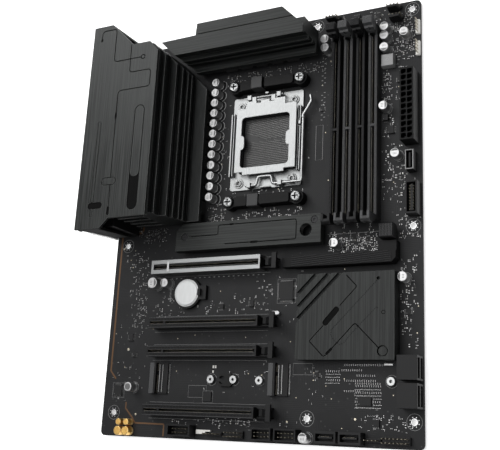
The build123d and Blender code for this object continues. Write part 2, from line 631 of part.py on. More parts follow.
SOCKET_HEAD = (3.5, 1.6)
FRAME_TOP = 0.2 + FRAME_T
with BuildPart() as socket_screws:
    with BuildSketch(level(FRAME_TOP)):
        with Locations(SCREW_CENTRE):
            with GridLocations(SCREW_PITCH[0], SCREW_PITCH[1], 2, 2):
                Circle(SOCKET_HEAD[0])
    extrude(amount=0.7)
    with BuildSketch(level(FRAME_TOP)):
        with Locations(SCREW_CENTRE):
            with GridLocations(SCREW_PITCH[0], SCREW_PITCH[1], 2, 2):
                Circle(SOCKET_HEAD[0] - 1.0)
    extrude(amount=SOCKET_HEAD[1])
    fillet(edges().filter_by(GeomType.CIRCLE).group_by(Axis.Z)[-1], radius=0.4)
    with BuildSketch(level(FRAME_TOP)):
        with Locations(SCREW_CENTRE):
            with GridLocations(SCREW_PITCH[0], SCREW_PITCH[1], 2, 2):
                Circle(1.6)
    extrude(amount=-(BOARD_T + FRAME_TOP))
    with BuildSketch(level(FRAME_TOP + SOCKET_HEAD[1] - 1.0)):
        with Locations(SCREW_CENTRE):
            with GridLocations(SCREW_PITCH[0], SCREW_PITCH[1], 2, 2):
                RegularPolygon(1.5, 6)
                RegularPolygon(1.5, 6, rotation=30)
    extrude(amount=1.0, mode=Mode.SUBTRACT)
save(socket_screws, "socket_screws")

with BuildPart() as socket_backplate:
    rounded((SOCKET_X - 32.0, SOCKET_X + 32.0), (SOCKET_Y - 50.0, SOCKET_Y + 50.0), 5.0,
            (-BOARD_T - TAIL, -BOARD_T))
    with BuildSketch(level(-BOARD_T - TAIL)):
        with Locations((SOCKET_X, SOCKET_Y)):
            RectangleRounded(26.0, 26.0, 3.0)
            with GridLocations(COOLER_PITCH[0], COOLER_PITCH[1], 2, 2):
                Circle(1.7)
    extrude(amount=TAIL, mode=Mode.SUBTRACT)
save(socket_backplate, "socket_backplate")

# ---- Cooler brackets ----
BRACKET_H = 7.0
UPPER_Y = SOCKET_Y + COOLER_PITCH[1] / 2
LOWER_Y = SOCKET_Y - COOLER_PITCH[1] / 2


def bracket(y, tab_h):
    """Bracket bar between two screw bosses, with its raised halves and centre tab."""
    left = SOCKET_X - COOLER_PITCH[0] / 2
    right = SOCKET_X + COOLER_PITCH[0] / 2
    with BuildSketch(level(0)) as outline:
        with Locations((left, y), (right, y)):
            Circle(5.2)
        with Locations((SOCKET_X, y)):
            Rectangle(COOLER_PITCH[0], 7.4)
    extrude(outline.sketch, amount=BRACKET_H)
    rounded((left + 5.0, SOCKET_X - 12.2), (y - 3.7, y + 3.7), 1.5, (BRACKET_H - 1.0, BRACKET_H + 1.2))
    rounded((SOCKET_X - 1.6, right - 5.0), (y - 3.7, y + 3.7), 1.5, (BRACKET_H - 1.0, BRACKET_H + 2.2))
    block((SOCKET_X - 11.4, SOCKET_X - 2.4), (y - 4.3, y + 4.5), (BRACKET_H - 1.0, tab_h))
    with BuildSketch(level(0)) as holes:
        with Locations((left, y), (right, y)):
            Circle(2.0)
    extrude(holes.sketch, amount=BRACKET_H, mode=Mode.SUBTRACT)


with BuildPart() as cooler_bracket_upper:
    bracket(UPPER_Y, 11.0)
save(cooler_bracket_upper, "cooler_bracket_upper")

with BuildPart() as cooler_bracket_lower:
    bracket(LOWER_Y, 9.0)
save(cooler_bracket_lower, "cooler_bracket_lower")

COOLER_HEAD = (4.0, 2.6)
with BuildPart() as cooler_screws:
    with BuildSketch(level(BRACKET_H)):
        with Locations((SOCKET_X, SOCKET_Y)):
            with GridLocations(COOLER_PITCH[0], COOLER_PITCH[1], 2, 2):
                Circle(COOLER_HEAD[0])
    extrude(amount=COOLER_HEAD[1])
    fillet(edges().filter_by(GeomType.CIRCLE).group_by(Axis.Z)[-1], radius=1.2)
    with BuildSketch(level(BRACKET_H)):
        with Locations((SOCKET_X, SOCKET_Y)):
            with GridLocations(COOLER_PITCH[0], COOLER_PITCH[1], 2, 2):
                Circle(1.6)
    extrude(amount=-(BRACKET_H + BOARD_T + 1.8))
    with BuildSketch(level(BRACKET_H + 1.2)):
        with Locations((SOCKET_X, SOCKET_Y)):
            with GridLocations(COOLER_PITCH[0], COOLER_PITCH[1], 2, 2):
                Rectangle(4.6, 1.0)
                Rectangle(1.0, 4.6)
    extrude(amount=1.4, mode=Mode.SUBTRACT)
save(cooler_screws, "cooler_screws")

# ---- Memory slots and their latches ----
CHEEK_W = 1.05
for index, slot_x in enumerate(DIMM_XS, start=1):
    side = (slot_x - DIMM_W / 2, slot_x + DIMM_W / 2)
    groove = (slot_x - DIMM_GROOVE / 2, slot_x + DIMM_GROOVE / 2)
    with BuildPart() as dimm_slot:
        block(side, DIMM_Y, (0, DIMM_H))
        block(groove, (DIMM_Y[0], DIMM_KEY_Y - 0.8), (2.2, DIMM_H), Mode.SUBTRACT)
        block(groove, (DIMM_KEY_Y + 0.8, DIMM_Y[1]), (2.2, DIMM_H), Mode.SUBTRACT)
        block((slot_x - DIMM_MOUTH / 2, slot_x + DIMM_MOUTH / 2), (DIMM_Y[0], DIMM_KEY_Y - 0.8),
              (DIMM_H - 1.6, DIMM_H), Mode.SUBTRACT)
        block((slot_x - DIMM_MOUTH / 2, slot_x + DIMM_MOUTH / 2), (DIMM_KEY_Y + 0.8, DIMM_Y[1]),
              (DIMM_H - 1.6, DIMM_H), Mode.SUBTRACT)
        # fixed guide tower at the lower end, leaning out over the board
        with BuildSketch(across(side[0])):
            with BuildLine():
                Polyline((DIMM_TOWER_Y[1], 0), (DIMM_TOWER_Y[1] - 2.2, 0), (DIMM_TOWER_Y[1] - 2.2, 9.0),
                         (DIMM_TOWER_Y[0], 16.0), (DIMM_TOWER_Y[0], DIMM_TOWER_H - 1.2),
                         (DIMM_TOWER_Y[0] + 1.2, DIMM_TOWER_H), (DIMM_TOWER_Y[1], DIMM_TOWER_H), close=True)
            make_face()
        extrude(amount=DIMM_W)
        block(groove, (DIMM_TOWER_Y[1] - 1.6, DIMM_TOWER_Y[1]), (2.2, 9.0), Mode.SUBTRACT)
        block((slot_x - DIMM_MOUTH / 2, slot_x + DIMM_MOUTH / 2), (DIMM_TOWER_Y[1] - 3.6, DIMM_TOWER_Y[1]),
              (9.0, DIMM_TOWER_H), Mode.SUBTRACT)
        # cheeks either side of the latch, with the holes for its pin
        block((side[0], side[0] + CHEEK_W), (DIMM_Y[1], CHEEK_END), (0, 10.0))
        block((side[1] - CHEEK_W, side[1]), (DIMM_Y[1], CHEEK_END), (0, 10.0))
        block(side, (DIMM_Y[1], CHEEK_END), (0, 1.0))
        with BuildSketch(across(side[0])):
            with Locations(LATCH_PIVOT):
                Circle(1.0)
        extrude(amount=DIMM_W, mode=Mode.SUBTRACT)
        pegs([(slot_x, y) for y in DIMM_PEG_YS])
    save(dimm_slot, f"dimm_slot_{index}")

    with BuildPart() as dimm_latch:
        stem = (slot_x - DIMM_W / 2 + CHEEK_W + GAP, slot_x + DIMM_W / 2 - CHEEK_W - GAP)
        with BuildSketch(across(stem[0])):
            with BuildLine():
                Polyline((282.4, 1.9), (286.4, 1.9), (287.6, 12.0), (287.6, 13.0), (280.6, 13.0), (280.6, 9.6),
                         (282.4, 8.4), close=True)
            make_face()
        extrude(amount=stem[1] - stem[0])
        with BuildSketch(across(side[0])):
            with BuildLine():
                Polyline((280.6, 12.6), (287.6, 12.6), (288.6, 20.4), (287.6, 22.0), (282.6, 22.0),
                         (282.0, 18.4), (280.6, 18.0), close=True)
            make_face()
        extrude(amount=DIMM_W)
        block(groove, (280.0, 282.4), (13.4, 18.0), Mode.SUBTRACT)
        with BuildSketch(across(side[0] + 0.1)):
            with Locations(LATCH_PIVOT):
                Circle(0.8)
        extrude(amount=DIMM_W - 0.2)
    save(dimm_latch, f"dimm_latch_{index}")

# ---- Expansion slots and their latches ----
for index, slot_y in enumerate(SLOT_YS, start=1):
    side = (slot_y - SLOT_W / 2, slot_y + SLOT_W / 2)
    groove = (slot_y - SLOT_GROOVE / 2, slot_y + SLOT_GROOVE / 2)
    with BuildPart() as pcie_slot:
        block(SLOT_X, side, (0, SLOT_H))
        block((SLOT_X[0] + 1.4, SLOT_KEY_X - 0.8), groove, (3.0, SLOT_H), Mode.SUBTRACT)
        block((SLOT_KEY_X + 0.8, SLOT_X[1] - 1.4), groove, (3.0, SLOT_H), Mode.SUBTRACT)
        # fork that carries the card latch
        block((SLOT_X[1], 141.0), (side[0], side[0] + 1.1), (0, 6.0))
        block((SLOT_X[1], 141.0), (side[1] - 1.1, side[1]), (0, 6.0))
        with BuildSketch(along(side[1])):
            with Locations(SLOT_LATCH_PIVOT):
                Circle(1.0)
        extrude(amount=SLOT_W, mode=Mode.SUBTRACT)
        pegs([(45.0, slot_y), (128.0, slot_y)])
    save(pcie_slot, f"pcie_slot_{index}")

    with BuildPart() as pcie_latch:
        with BuildSketch(along(side[1] - 1.1 - GAP)):
            with BuildLine():
                Polyline((135.4, 1.0), (138.6, 1.0), (139.2, 6.4), (144.0, 10.8), (144.0, LATCH_H),
                         (141.4, LATCH_H), (136.6, 9.0), (134.0, 8.6), (134.0, 6.6), (135.6, 6.4), close=True)
            make_face()
        extrude(amount=SLOT_W - 2.2 - 2 * GAP)
        bar(along(slot_y + 5.4), (141.2, 144.6), (11.4, LATCH_H), 10.8)
        with BuildSketch(along(side[1] - 0.1)):
            with Locations(SLOT_LATCH_PIVOT):
                Circle(0.8)
        extrude(amount=SLOT_W - 0.2)
    save(pcie_latch, f"pcie_latch_{index}")

with BuildPart() as pcie_slot_shell:
    shell_y = (SLOT_YS[0] - SHELL_W / 2, SLOT_YS[0] + SHELL_W / 2)
    block((SLOT_X[0] - 0.8, SLOT_X[1] + 0.2), shell_y, (0.1, SLOT_H + 0.6))
    block((SLOT_X[0] - 0.1, SLOT_X[1] + 0.4), (SLOT_YS[0] - SLOT_W / 2 - 0.1, SLOT_YS[0] + SLOT_W / 2 + 0.1),
          (0, SLOT_H + 0.1), Mode.SUBTRACT)
    block((SLOT_X[0] + 1.0, SLOT_X[1] - 1.0), (SLOT_YS[0] - 2.1, SLOT_YS[0] + 2.1), (0, SLOT_H + 1.0),
          Mode.SUBTRACT)
save(pcie_slot_shell, "pcie_slot_shell")

# ---- Quick release for the first expansion slot ----
RELEASE_Y = (115.9, 123.7)
with BuildPart() as release_housing:
    with BuildSketch(level(0)):
        with BuildLine():
            Polyline((RELEASE_X[0], RELEASE_Y[0]), (RELEASE_X[1] - 3.0, RELEASE_Y[0]),
                     (RELEASE_X[1], RELEASE_Y[0] + 3.0), (RELEASE_X[1], 130.6), (215.8, 130.6),
                     (215.8, RELEASE_Y[1]), (RELEASE_X[0], RELEASE_Y[1]), close=True)
        make_face()
    extrude(amount=RELEASE_H)
    block((215.6, 228.6), (RELEASE_Y[1], 131.0), (7.6, 10.0), Mode.SUBTRACT)
    # low end block towards the first card latch, joined by a bridge
    block((146.4, 152.8), (116.4, 123.2), (0, 7.2))
    block((152.0, RELEASE_X[0] + 0.5), (117.6, 122.0), (0, 4.0))
    # low guide that the button comes down on
    block((BUTTON_X[0] + 2.0, BUTTON_X[1] - 2.0), (BUTTON_Y[0] + 2.0, BUTTON_Y[1] - 2.0), (0, 0.6))
save(release_housing, "release_housing")

with BuildPart() as release_button:
    block(BUTTON_X, BUTTON_Y, (3.4, 12.0))
    chamfer(edges().group_by(Axis.Z)[-1], length=0.6)
save(release_button, "release_button")

# ---- Drive heatsink, sockets and standoffs ----
with BuildPart() as m2_heatsink:
    with BuildSketch(level(M2_SINK_H[0])):
        with BuildLine():
            Polyline((M2_SINK_X[0], M2_SINK_Y[0]), (M2_SINK_X[1], M2_SINK_Y[0]), (M2_SINK_X[1], M2_SINK_Y[1]),
                     (M2_SINK_X[0] + 6.0, M2_SINK_Y[1]), (M2_SINK_X[0], M2_SINK_Y[1] - 5.0), close=True)
        make_face()
        with Locations((HOLE_XS[1], HOLE_YS[1])):
            Circle(4.5, mode=Mode.SUBTRACT)
    extrude(amount=M2_SINK_H[1] - M2_SINK_H[0])
    for x, y, radius in M2_SCREWS:
        discs([(x, y)], radius, (M2_SINK_H[1] - 1.6, M2_SINK_H[1]), Mode.SUBTRACT)
        discs([(x, y)], 1.5, (M2_SINK_H[0], M2_SINK_H[1]), Mode.SUBTRACT)
    engrave_line([(73.0, 142.0), (96.0, 142.0), (96.0, 149.0), (157.9, 149.0), (157.9, 134.9), (101.9, 134.9)],
                 MARK_LINE, M2_SINK_H[1])
    engrave_slot((105.8, 149.0), (107.8, 149.0), 1.6, M2_SINK_H[1])
    engrave_slot((123.4, 134.9), (127.6, 134.9), 1.8, M2_SINK_H[1])
    chamfer(edges().filter_by(Axis.X).group_by(Axis.Z)[-1].group_by(Axis.Y)[0], length=0.6)
save(m2_heatsink, "m2_heatsink")

with BuildPart() as m2_heatsink_screws:
    for x, y, radius in M2_SCREWS:
        discs([(x, y)], 2.6, (0, M2_SINK_H[0]))
        discs([(x, y)], 1.3, (M2_SINK_H[0], M2_SINK_H[1] - 1.6))
        discs([(x, y)], radius - 0.3, (M2_SINK_H[1] - 1.6, M2_SINK_H[1] - 0.3))
        discs([(x, y)], 1.0, (M2_SINK_H[1] - 0.9, M2_SINK_H[1] - 0.3), Mode.SUBTRACT)
save(m2_heatsink_screws, "m2_heatsink_screws")

M2_SOCKETS = ((42.0, 30.4), (137.4, 30.4))
with BuildPart() as m2_sockets:
    for x, y in M2_SOCKETS:
        block((x, x + 5.0), (y, y + 21.6), (0, 4.2))
        block((x + 1.2, x + 5.0), (y + 1.2, y + 20.4), (1.6, 3.0), Mode.SUBTRACT)
        block((x + 5.6, x + 13.6), (y, y + 21.6), (0, 1.4))
    block((80.0, 85.0), (134.0, 149.0), (0, 4.2))
save(m2_sockets, "m2_sockets")

NUTS = ((91.6, 40.8), (109.5, 40.8), (222.9, 40.8), (129.6, 40.4))
with BuildPart() as m2_standoffs:
    discs(NUTS, 2.7, (0, 2.4))
    discs(NUTS, 1.0, (0.4, 2.4), Mode.SUBTRACT)
save(m2_standoffs, "m2_standoffs")

with BuildPart() as m2_support_pad:
    rounded((98.6, 108.4), (36.2, 44.8), 1.0, (0, 2.6))
    discs([(101.2, 40.5)], 2.8, (0, 2.6), Mode.SUBTRACT)
    discs(NUTS[1:2], 2.9, (0, 2.6), Mode.SUBTRACT)
save(m2_support_pad, "m2_support_pad")

# ---- Chipset heatsink ----
with BuildPart() as chipset_heatsink:
    block(CHIP_SINK_X, CHIP_SINK_Y, CHIP_SINK_H)
    discs([(x, y) for x in (165.0, 223.0) for y in (58.5, 105.0)], 2.4, (0, CHIP_SINK_H[0]))
    with BuildSketch(level(CHIP_SINK_H[1] - 2.4)):
        # parallel slots that run out through the upper and rear edges
        for reach in (14.0, 23.0, 31.0):
            with Locations(Location((CHIP_SINK_X[0] + reach / 2, CHIP_SINK_Y[1] - reach / 2, 0), 45)):
                Rectangle(reach * 1.5 + 4, 2.7)
        with Locations((220.3, 58.9)):
            Circle(3.6)
        with Locations((217.4, 105.2)):
            Circle(1.2)
    extrude(amount=2.4, mode=Mode.SUBTRACT)
    # screw in the recess, and the engraved circuit-like decoration
    discs([(220.3, 58.9)], 2.8, (CHIP_SINK_H[1] - 2.4, CHIP_SINK_H[1] - 0.8))
    engrave_line([(195.3, 108.3), (202.9, 100.5), (191.0, 88.2)], MARK_LINE, CHIP_SINK_H[1])
    engrave_slot((181.2, 77.4), (188.6, 85.6), 4.2, CHIP_SINK_H[1])
    engrave_line([(179.8, 75.6), (169.9, 65.5), (180.4, 55.2), (183.0, 57.6)], MARK_LINE, CHIP_SINK_H[1], 1.2)
    engrave_slot((182.6, 57.4), (185.6, 60.2), 1.9, CHIP_SINK_H[1])
    engrave_line([(185.6, 60.2), (201.7, 76.8), (217.6, 61.0)], MARK_LINE, CHIP_SINK_H[1])
    engrave_slot((220.7, 83.3), (220.9, 83.3), 2.6, CHIP_SINK_H[1], 0.4)
save(chipset_heatsink, "chipset_heatsink")

# ---- Battery ----
with BuildPart() as battery_holder:
    discs([CELL], CELL_R + 1.4, (0, 3.2))
    block((CELL[0] - 14.0, CELL[0] - 9.0), (CELL[1] - 3.0, CELL[1] + 3.0), (0, 2.2))
    block((CELL[0] + 6.0, CELL[0] + 16.0), (CELL[1] - 5.0, CELL[1] + 5.0), (0, 3.2))
    discs([CELL], CELL_R + 0.15, (1.0, 3.2), Mode.SUBTRACT)
    block((CELL[0] + 10.4, CELL[0] + 12.4), (CELL[1] - 2.4, CELL[1] + 2.4), (3.2, 5.6))
save(battery_holder, "battery_holder")

with BuildPart() as cmos_battery:
    discs([CELL], CELL_R, (1.0, 3.6))
    discs([CELL], CELL_R - 0.9, (3.6, 4.2))
    fillet(edges().filter_by(GeomType.CIRCLE).group_by(Axis.Z)[-1], radius=0.25)
save(cmos_battery, "cmos_battery")

# ---- Data connectors ----
with BuildPart() as sata_ports:
    for x in (173.7, 190.4):
        block((x, x + 15.0), (1.2, 9.0), (0, 8.6))
        block((x + 1.2, x + 13.8), (2.8, 7.4), (2.2, 8.6), Mode.SUBTRACT)
        block((x + 2.6, x + 12.4), (4.6, 5.7), (2.0, 7.6))
    for y in (24.2, 41.2):
        block((230.4, 243.4), (y, y + 15.0), (0, 13.6))
        for height in (1.6, 8.0):
            bar(across(236.4), (y + 1.2, y + 13.8), (height, height + 4.4), 8.0, Mode.SUBTRACT)
            bar(across(236.0), (y + 2.6, y + 12.4), (height + 1.6, height + 2.7), 6.4)
save(sata_ports, "sata_ports")

with BuildPart() as front_usb_headers:
    # nineteen-pin box header
    block((234.6, 242.6), (147.4, 169.8), (0, 8.8))
    block((235.6, 241.6), (148.6, 168.6), (1.6, 8.8), Mode.SUBTRACT)
    block((237.8, 239.4), (149.6, 167.6), (1.4, 7.2))
    # metal-shelled vertical socket
    block((234.6, 240.2), (177.6, 191.2), (0, 8.6))
    block((235.2, 239.6), (178.2, 190.6), (1.6, 8.6), Mode.SUBTRACT)
    block((236.8, 238.0), (179.4, 189.4), (1.4, 7.4))
save(front_usb_headers, "front_usb_headers")

# ---- Pin headers ----
PIN_PITCH = 2.54
PIN_SIDE = 0.64
BOX_HEADERS = ((62.6, 81.0, 1.6, 9.6), (128.4, 143.0, 1.2, 9.4), (145.2, 161.0, 1.2, 9.4))
FAN_HEADERS = ((178.8, 301.4), (225.2, 301.2), (226.8, 293.2))
OPEN_HEADERS = ((96.6, 4.4, 5, 1), (113.0, 4.4, 5, 2), (211.4, 4.6, 4, 1), (226.6, 4.8, 7, 2),
                (242.0, 283.2, 1, 4), (242.0, 266.9, 1, 4))
with BuildPart() as pin_headers:
    for x0, x1, y0, y1 in BOX_HEADERS:
        block((x0, x1), (y0, y1), (0, 8.8))
        block((x0 + 1.0, x1 - 1.0), (y0 + 1.0, y1 - 1.0), (1.6, 8.8), Mode.SUBTRACT)
        centre = ((x0 + x1) / 2, (y0 + y1) / 2)
        with BuildSketch(level(1.4)):
            with Locations(centre):
                with GridLocations(PIN_PITCH, PIN_PITCH, 5, 2):
                    Rectangle(PIN_SIDE, PIN_SIDE)
        extrude(amount=6.0)
    for x, y in FAN_HEADERS:
        block((x - 3.8, x + 3.8), (y - 2.7, y - 1.2), (0, 9.4))
    for x, y, columns, rows in OPEN_HEADERS + tuple((x, y, 4, 1) for x, y in FAN_HEADERS):
        with BuildSketch(level(0)):
            with Locations((x, y)):
                Rectangle(columns * PIN_PITCH, rows * PIN_PITCH)
        extrude(amount=2.5)
        with BuildSketch(level(2.5)):
            with Locations((x, y)):
                with GridLocations(PIN_PITCH, PIN_PITCH, columns, rows):
                    Rectangle(PIN_SIDE, PIN_SIDE)
        extrude(amount=6.0)
save(pin_headers, "pin_headers")

# ---- Integrated circuits: centre x, centre y, width, length, height ----
CHIPS = ((147.2, 101.2, 11.0, 13.0, 1.5), (194.0, 82.0, 21.0, 21.0, 2.4), (12.6, 32.4, 7.0, 7.0, 1.2),
         (212.6, 15.0, 5.0, 4.4, 1.6), (89.0, 29.0, 6.5, 6.5, 1.0), (205.0, 28.0, 9.0, 5.0, 1.2),
         (222.0, 209.8, 5.0, 6.0, 1.6), (220.8, 260.3, 9.0, 9.0, 5.0), (218.6, 218.6, 4.0, 4.4, 3.0))
with BuildPart() as board_components:
    for x, y, width, length, height in CHIPS:
        block((x - width / 2, x + width / 2), (y - length / 2, y + length / 2), (0, height))
    # power stages under the heatsinks, and the body of the rear switch
    blocks(LEFT_STAGES + TOP_STAGES, STAGE, (0, STAGE[2]))
    block((3.6, 10.6), (BIOS_BUTTON[0] - 4.0, BIOS_BUTTON[0] + 4.0), (0, 13.0))
save(board_components, "board_components")
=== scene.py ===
import math
import random

import bpy
from mathutils import Matrix, Vector
from mathutils.bvhtree import BVHTree


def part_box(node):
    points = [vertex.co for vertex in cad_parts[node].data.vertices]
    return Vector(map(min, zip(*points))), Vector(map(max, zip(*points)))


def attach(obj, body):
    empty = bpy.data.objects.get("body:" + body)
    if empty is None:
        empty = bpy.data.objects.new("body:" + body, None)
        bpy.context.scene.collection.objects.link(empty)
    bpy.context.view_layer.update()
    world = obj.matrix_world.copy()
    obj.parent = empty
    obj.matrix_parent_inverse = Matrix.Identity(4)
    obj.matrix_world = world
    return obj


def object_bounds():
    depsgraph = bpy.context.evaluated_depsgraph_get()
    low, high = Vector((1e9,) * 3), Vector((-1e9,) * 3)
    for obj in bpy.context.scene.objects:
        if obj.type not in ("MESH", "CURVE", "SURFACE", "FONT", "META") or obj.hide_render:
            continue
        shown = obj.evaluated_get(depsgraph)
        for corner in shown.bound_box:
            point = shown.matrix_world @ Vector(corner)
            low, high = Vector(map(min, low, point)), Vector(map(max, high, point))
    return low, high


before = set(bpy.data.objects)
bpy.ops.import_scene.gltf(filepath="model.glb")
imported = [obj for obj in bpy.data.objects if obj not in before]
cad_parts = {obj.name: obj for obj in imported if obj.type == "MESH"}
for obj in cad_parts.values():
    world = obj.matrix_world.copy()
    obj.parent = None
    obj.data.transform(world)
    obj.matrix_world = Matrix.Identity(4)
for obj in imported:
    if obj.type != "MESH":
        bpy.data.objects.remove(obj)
CAD_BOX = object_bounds()

# Positions below are board millimetres: x runs away from the rear connectors, y towards the
# processor end, both from the board's rear lower corner, and h is the height above its top face.
MM = 0.001
PCB_LOW, PCB_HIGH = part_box("pcb")
BOARD_T = (PCB_HIGH.z - PCB_LOW.z) / MM
RNG = random.Random(24)
FILM = 0.04             # thickness given to printed lines and solder pads
SMOOTH_BELOW = 35       # degrees between faces that are shaded as one


def at(x, y, h):
    """Row-frame point of a board position."""
    return Vector((PCB_LOW.x + x * MM, PCB_LOW.y + y * MM, PCB_HIGH.z + h * MM))


# ---- geometry helpers
class Mesh:
    """Closed solids collected in board millimetres."""

    def __init__(self):
        self.verts = []
        self.faces = []

    def loft(self, rings, closed=False):
        """Solid through rings of points, every ring with the same number of points."""
        start = len(self.verts)
        count = len(rings[0])
        for ring in rings:
            self.verts += [at(*p) for p in ring]
        spans = len(rings) if closed else len(rings) - 1
        for k in range(spans):
            a = start + k * count
            b = start + (k + 1) % len(rings) * count
            for i in range(count):
                j = (i + 1) % count
                self.faces.append((a + i, a + j, b + j, b + i))
        if not closed:
            last = start + (len(rings) - 1) * count
            self.faces.append(tuple(start + i for i in reversed(range(count))))
            self.faces.append(tuple(last + i for i in range(count)))

    def raised(self, ring, h, edge):
        """Upright solid from a function that gives its outline at an inset and a height."""
        rings = [ring(0, h[0]), ring(0, h[1] - edge)]
        if edge:
            rings.append(ring(edge, h[1]))
        self.loft(rings)

    def slab(self, x, y, h, edge=0.0):
        """Block between two x, two y and two h, its top edges chamfered."""
        def ring(inset, height):
            return [(x[0] + inset, y[0] + inset, height), (x[1] - inset, y[0] + inset, height),
                    (x[1] - inset, y[1] - inset, height), (x[0] + inset, y[1] - inset, height)]
        self.raised(ring, h, edge)

    def block(self, x, y, width, length, h, edge=0.0, turn=0.0):
        """Chamfered block centred on a board position, turned by an angle in degrees."""
        c, s = math.cos(math.radians(turn)), math.sin(math.radians(turn))

        def ring(inset, height):
            a, b = width / 2 - inset, length / 2 - inset
            corners = ((-a, -b), (a, -b), (a, b), (-a, b))
            return [(x + u * c - v * s, y + u * s + v * c, height) for u, v in corners]
        self.raised(ring, h, edge)

    def post(self, x, y, half, h, edge):
        """Square pin."""
        self.slab((x - half, x + half), (y - half, y + half), h, edge)

    def turned(self, x, y, profile, sides=24):
        """Upright body of revolution. Profile lists (radius, height)."""
        turn = [2 * math.pi * i / sides for i in range(sides)]
        self.loft([[(x + r * math.cos(a), y + r * math.sin(a), h) for a in turn] for r, h in profile])

    def prism(self, outline, h, edge=0.0):
        """Upright solid on an outline, its top pulled in towards the centre by edge."""
        cx = sum(p[0] for p in outline) / len(outline)
        cy = sum(p[1] for p in outline) / len(outline)

        def ring(inset, height):
            points = []
            for px, py in outline:
                d = math.hypot(px - cx, py - cy) or 1.0
                points.append((px + (cx - px) / d * inset, py + (cy - py) / d * inset, height))
            return points
        self.raised(ring, h, edge)

    def strip(self, points, width, h=(0.0, FILM), closed=False):
        """Flat band of a width along a path on the board."""
        rings = []
        count = len(points)
        for i, (px, py) in enumerate(points):
            before = points[i - 1] if i or closed else points[i]
            after = points[(i + 1) % count] if i < count - 1 or closed else points[i]
            dx, dy = after[0] - before[0], after[1] - before[1]
            d = math.hypot(dx, dy) or 1.0
            nx, ny = -dy / d * width / 2, dx / d * width / 2
            rings.append([(px - nx, py - ny, h[0]), (px + nx, py + ny, h[0]),
                          (px + nx, py + ny, h[1]), (px - nx, py - ny, h[1])])
        self.loft(rings, closed)

    def arc(self, x, y, radius, first, last, width, h=(0.0, FILM), steps=20):
        """Flat band along an arc, angles in degrees."""
        whole = last - first >= 360
        count = steps if whole else steps + 1
        turn = [math.radians(first + (last - first) * i / steps) for i in range(count)]
        self.strip([(x + radius * math.cos(a), y + radius * math.sin(a)) for a in turn], width, h, whole)

    def tube(self, points, radius, sides=10):
        """Round wire along a path of (x, y, h)."""
        path = [Vector(p) for p in points]
        rings = []
        side = None
        for i, p in enumerate(path):
            ahead = (path[min(i + 1, len(path) - 1)] - path[max(i - 1, 0)]).normalized()
            if side is None:
                side = ahead.orthogonal().normalized()
            side = (side - ahead * side.dot(ahead)).normalized()
            other = ahead.cross(side)
            turn = [2 * math.pi * k / sides for k in range(sides)]
            rings.append([tuple(p + radius * (side * math.cos(a) + other * math.sin(a))) for a in turn])
        self.loft(rings)


def piece(name, mesh, look, body="board", smooth=False):
    """Make one object of the collected solids, give it a look by name and ride it on a body."""
    data = bpy.data.meshes.new(name)
    data.from_pydata(mesh.verts, [], mesh.faces)
    data.validate()
    obj = bpy.data.objects.new(name, data)
    bpy.context.scene.collection.objects.link(obj)
    select_only(obj)
    bpy.ops.object.mode_set(mode="EDIT")
    bpy.ops.mesh.select_all(action="SELECT")
    bpy.ops.mesh.normals_make_consistent(inside=False)
    bpy.ops.object.mode_set(mode="OBJECT")
    if smooth:
        bpy.ops.object.shade_auto_smooth(angle=math.radians(SMOOTH_BELOW))
    data.materials.append(LOOKS[look])
    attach(obj, body)


def select_only(obj):
    bpy.ops.object.select_all(action="DESELECT")
    obj.select_set(True)
    bpy.context.view_layer.objects.active = obj


# ---- looks
EDGE_RADIUS = 0.0004    # metres of rounded corner, where the surface is painted brighter as an edge highlight
ENGRAVED_SHADE_TONE = 0.05     # share of the dark tone painted as shade on the floor of an engraved line


def node_tree(name):
    """New material with its nodes, its links and its shader."""
    look = bpy.data.materials.new(name)
    look.use_nodes = True
    nodes, links = look.node_tree.nodes, look.node_tree.links
    return look, nodes, links, nodes["Principled BSDF"]


def made(nodes, kind, values=(), **settings):
    """New shader node with its settings and its unlinked sockets filled in."""
    node = nodes.new("ShaderNode" + kind)
    for key, value in settings.items():
        setattr(node, key, value)
    for socket, value in dict(values).items():
        node.inputs[socket].default_value = value
    return node


def axes(nodes, links, output="Object"):
    """The three parts of a texture coordinate: the object's own place, or its normal."""
    split = made(nodes, "SeparateXYZ")
    links.new(made(nodes, "TexCoord").outputs[output], split.inputs["Vector"])
    return split.outputs


def math_node(nodes, links, operation, source, *values):
    """Result of a maths node on one linked value and some constants."""
    node = made(nodes, "Math", enumerate(values, start=1), operation=operation)
    links.new(source, node.inputs[0])
    return node.outputs["Value"]


def noise(nodes, links, scale, stretch=(1, 1, 1), detail=3.0):
    """Noise over the object's own coordinates; scale is features per metre."""
    mapping = made(nodes, "Mapping", {"Scale": tuple(scale * s for s in stretch)})
    links.new(made(nodes, "TexCoord").outputs["Object"], mapping.inputs["Vector"])
    field = made(nodes, "TexNoise", {"Scale": 1.0, "Detail": detail, "Roughness": 0.55})
    links.new(mapping.outputs["Vector"], field.inputs["Vector"])
    return field.outputs["Fac"]


def shade(colour):
    """A colour, given as one or as a grey level."""
    return (colour, colour, colour) if isinstance(colour, float) else colour


def ramp(nodes, links, source, stops):
    """Colour ramp; stops are (position, grey or colour)."""
    node = made(nodes, "ValToRGB")
    while len(node.color_ramp.elements) < len(stops):
        node.color_ramp.elements.new(0.5)
    for element, (position, colour) in zip(node.color_ramp.elements, stops):
        element.position = position
        element.color = (*shade(colour), 1)
    links.new(source, node.inputs["Fac"])
    return node.outputs["Color"]


def spread(nodes, links, source, low, high):
    """Map the middle of a noise to a range of values."""
    node = made(nodes, "MapRange", {"From Min": 0.3, "From Max": 0.7, "To Min": low, "To Max": high})
    links.new(source, node.inputs["Value"])
    return node.outputs["Result"]


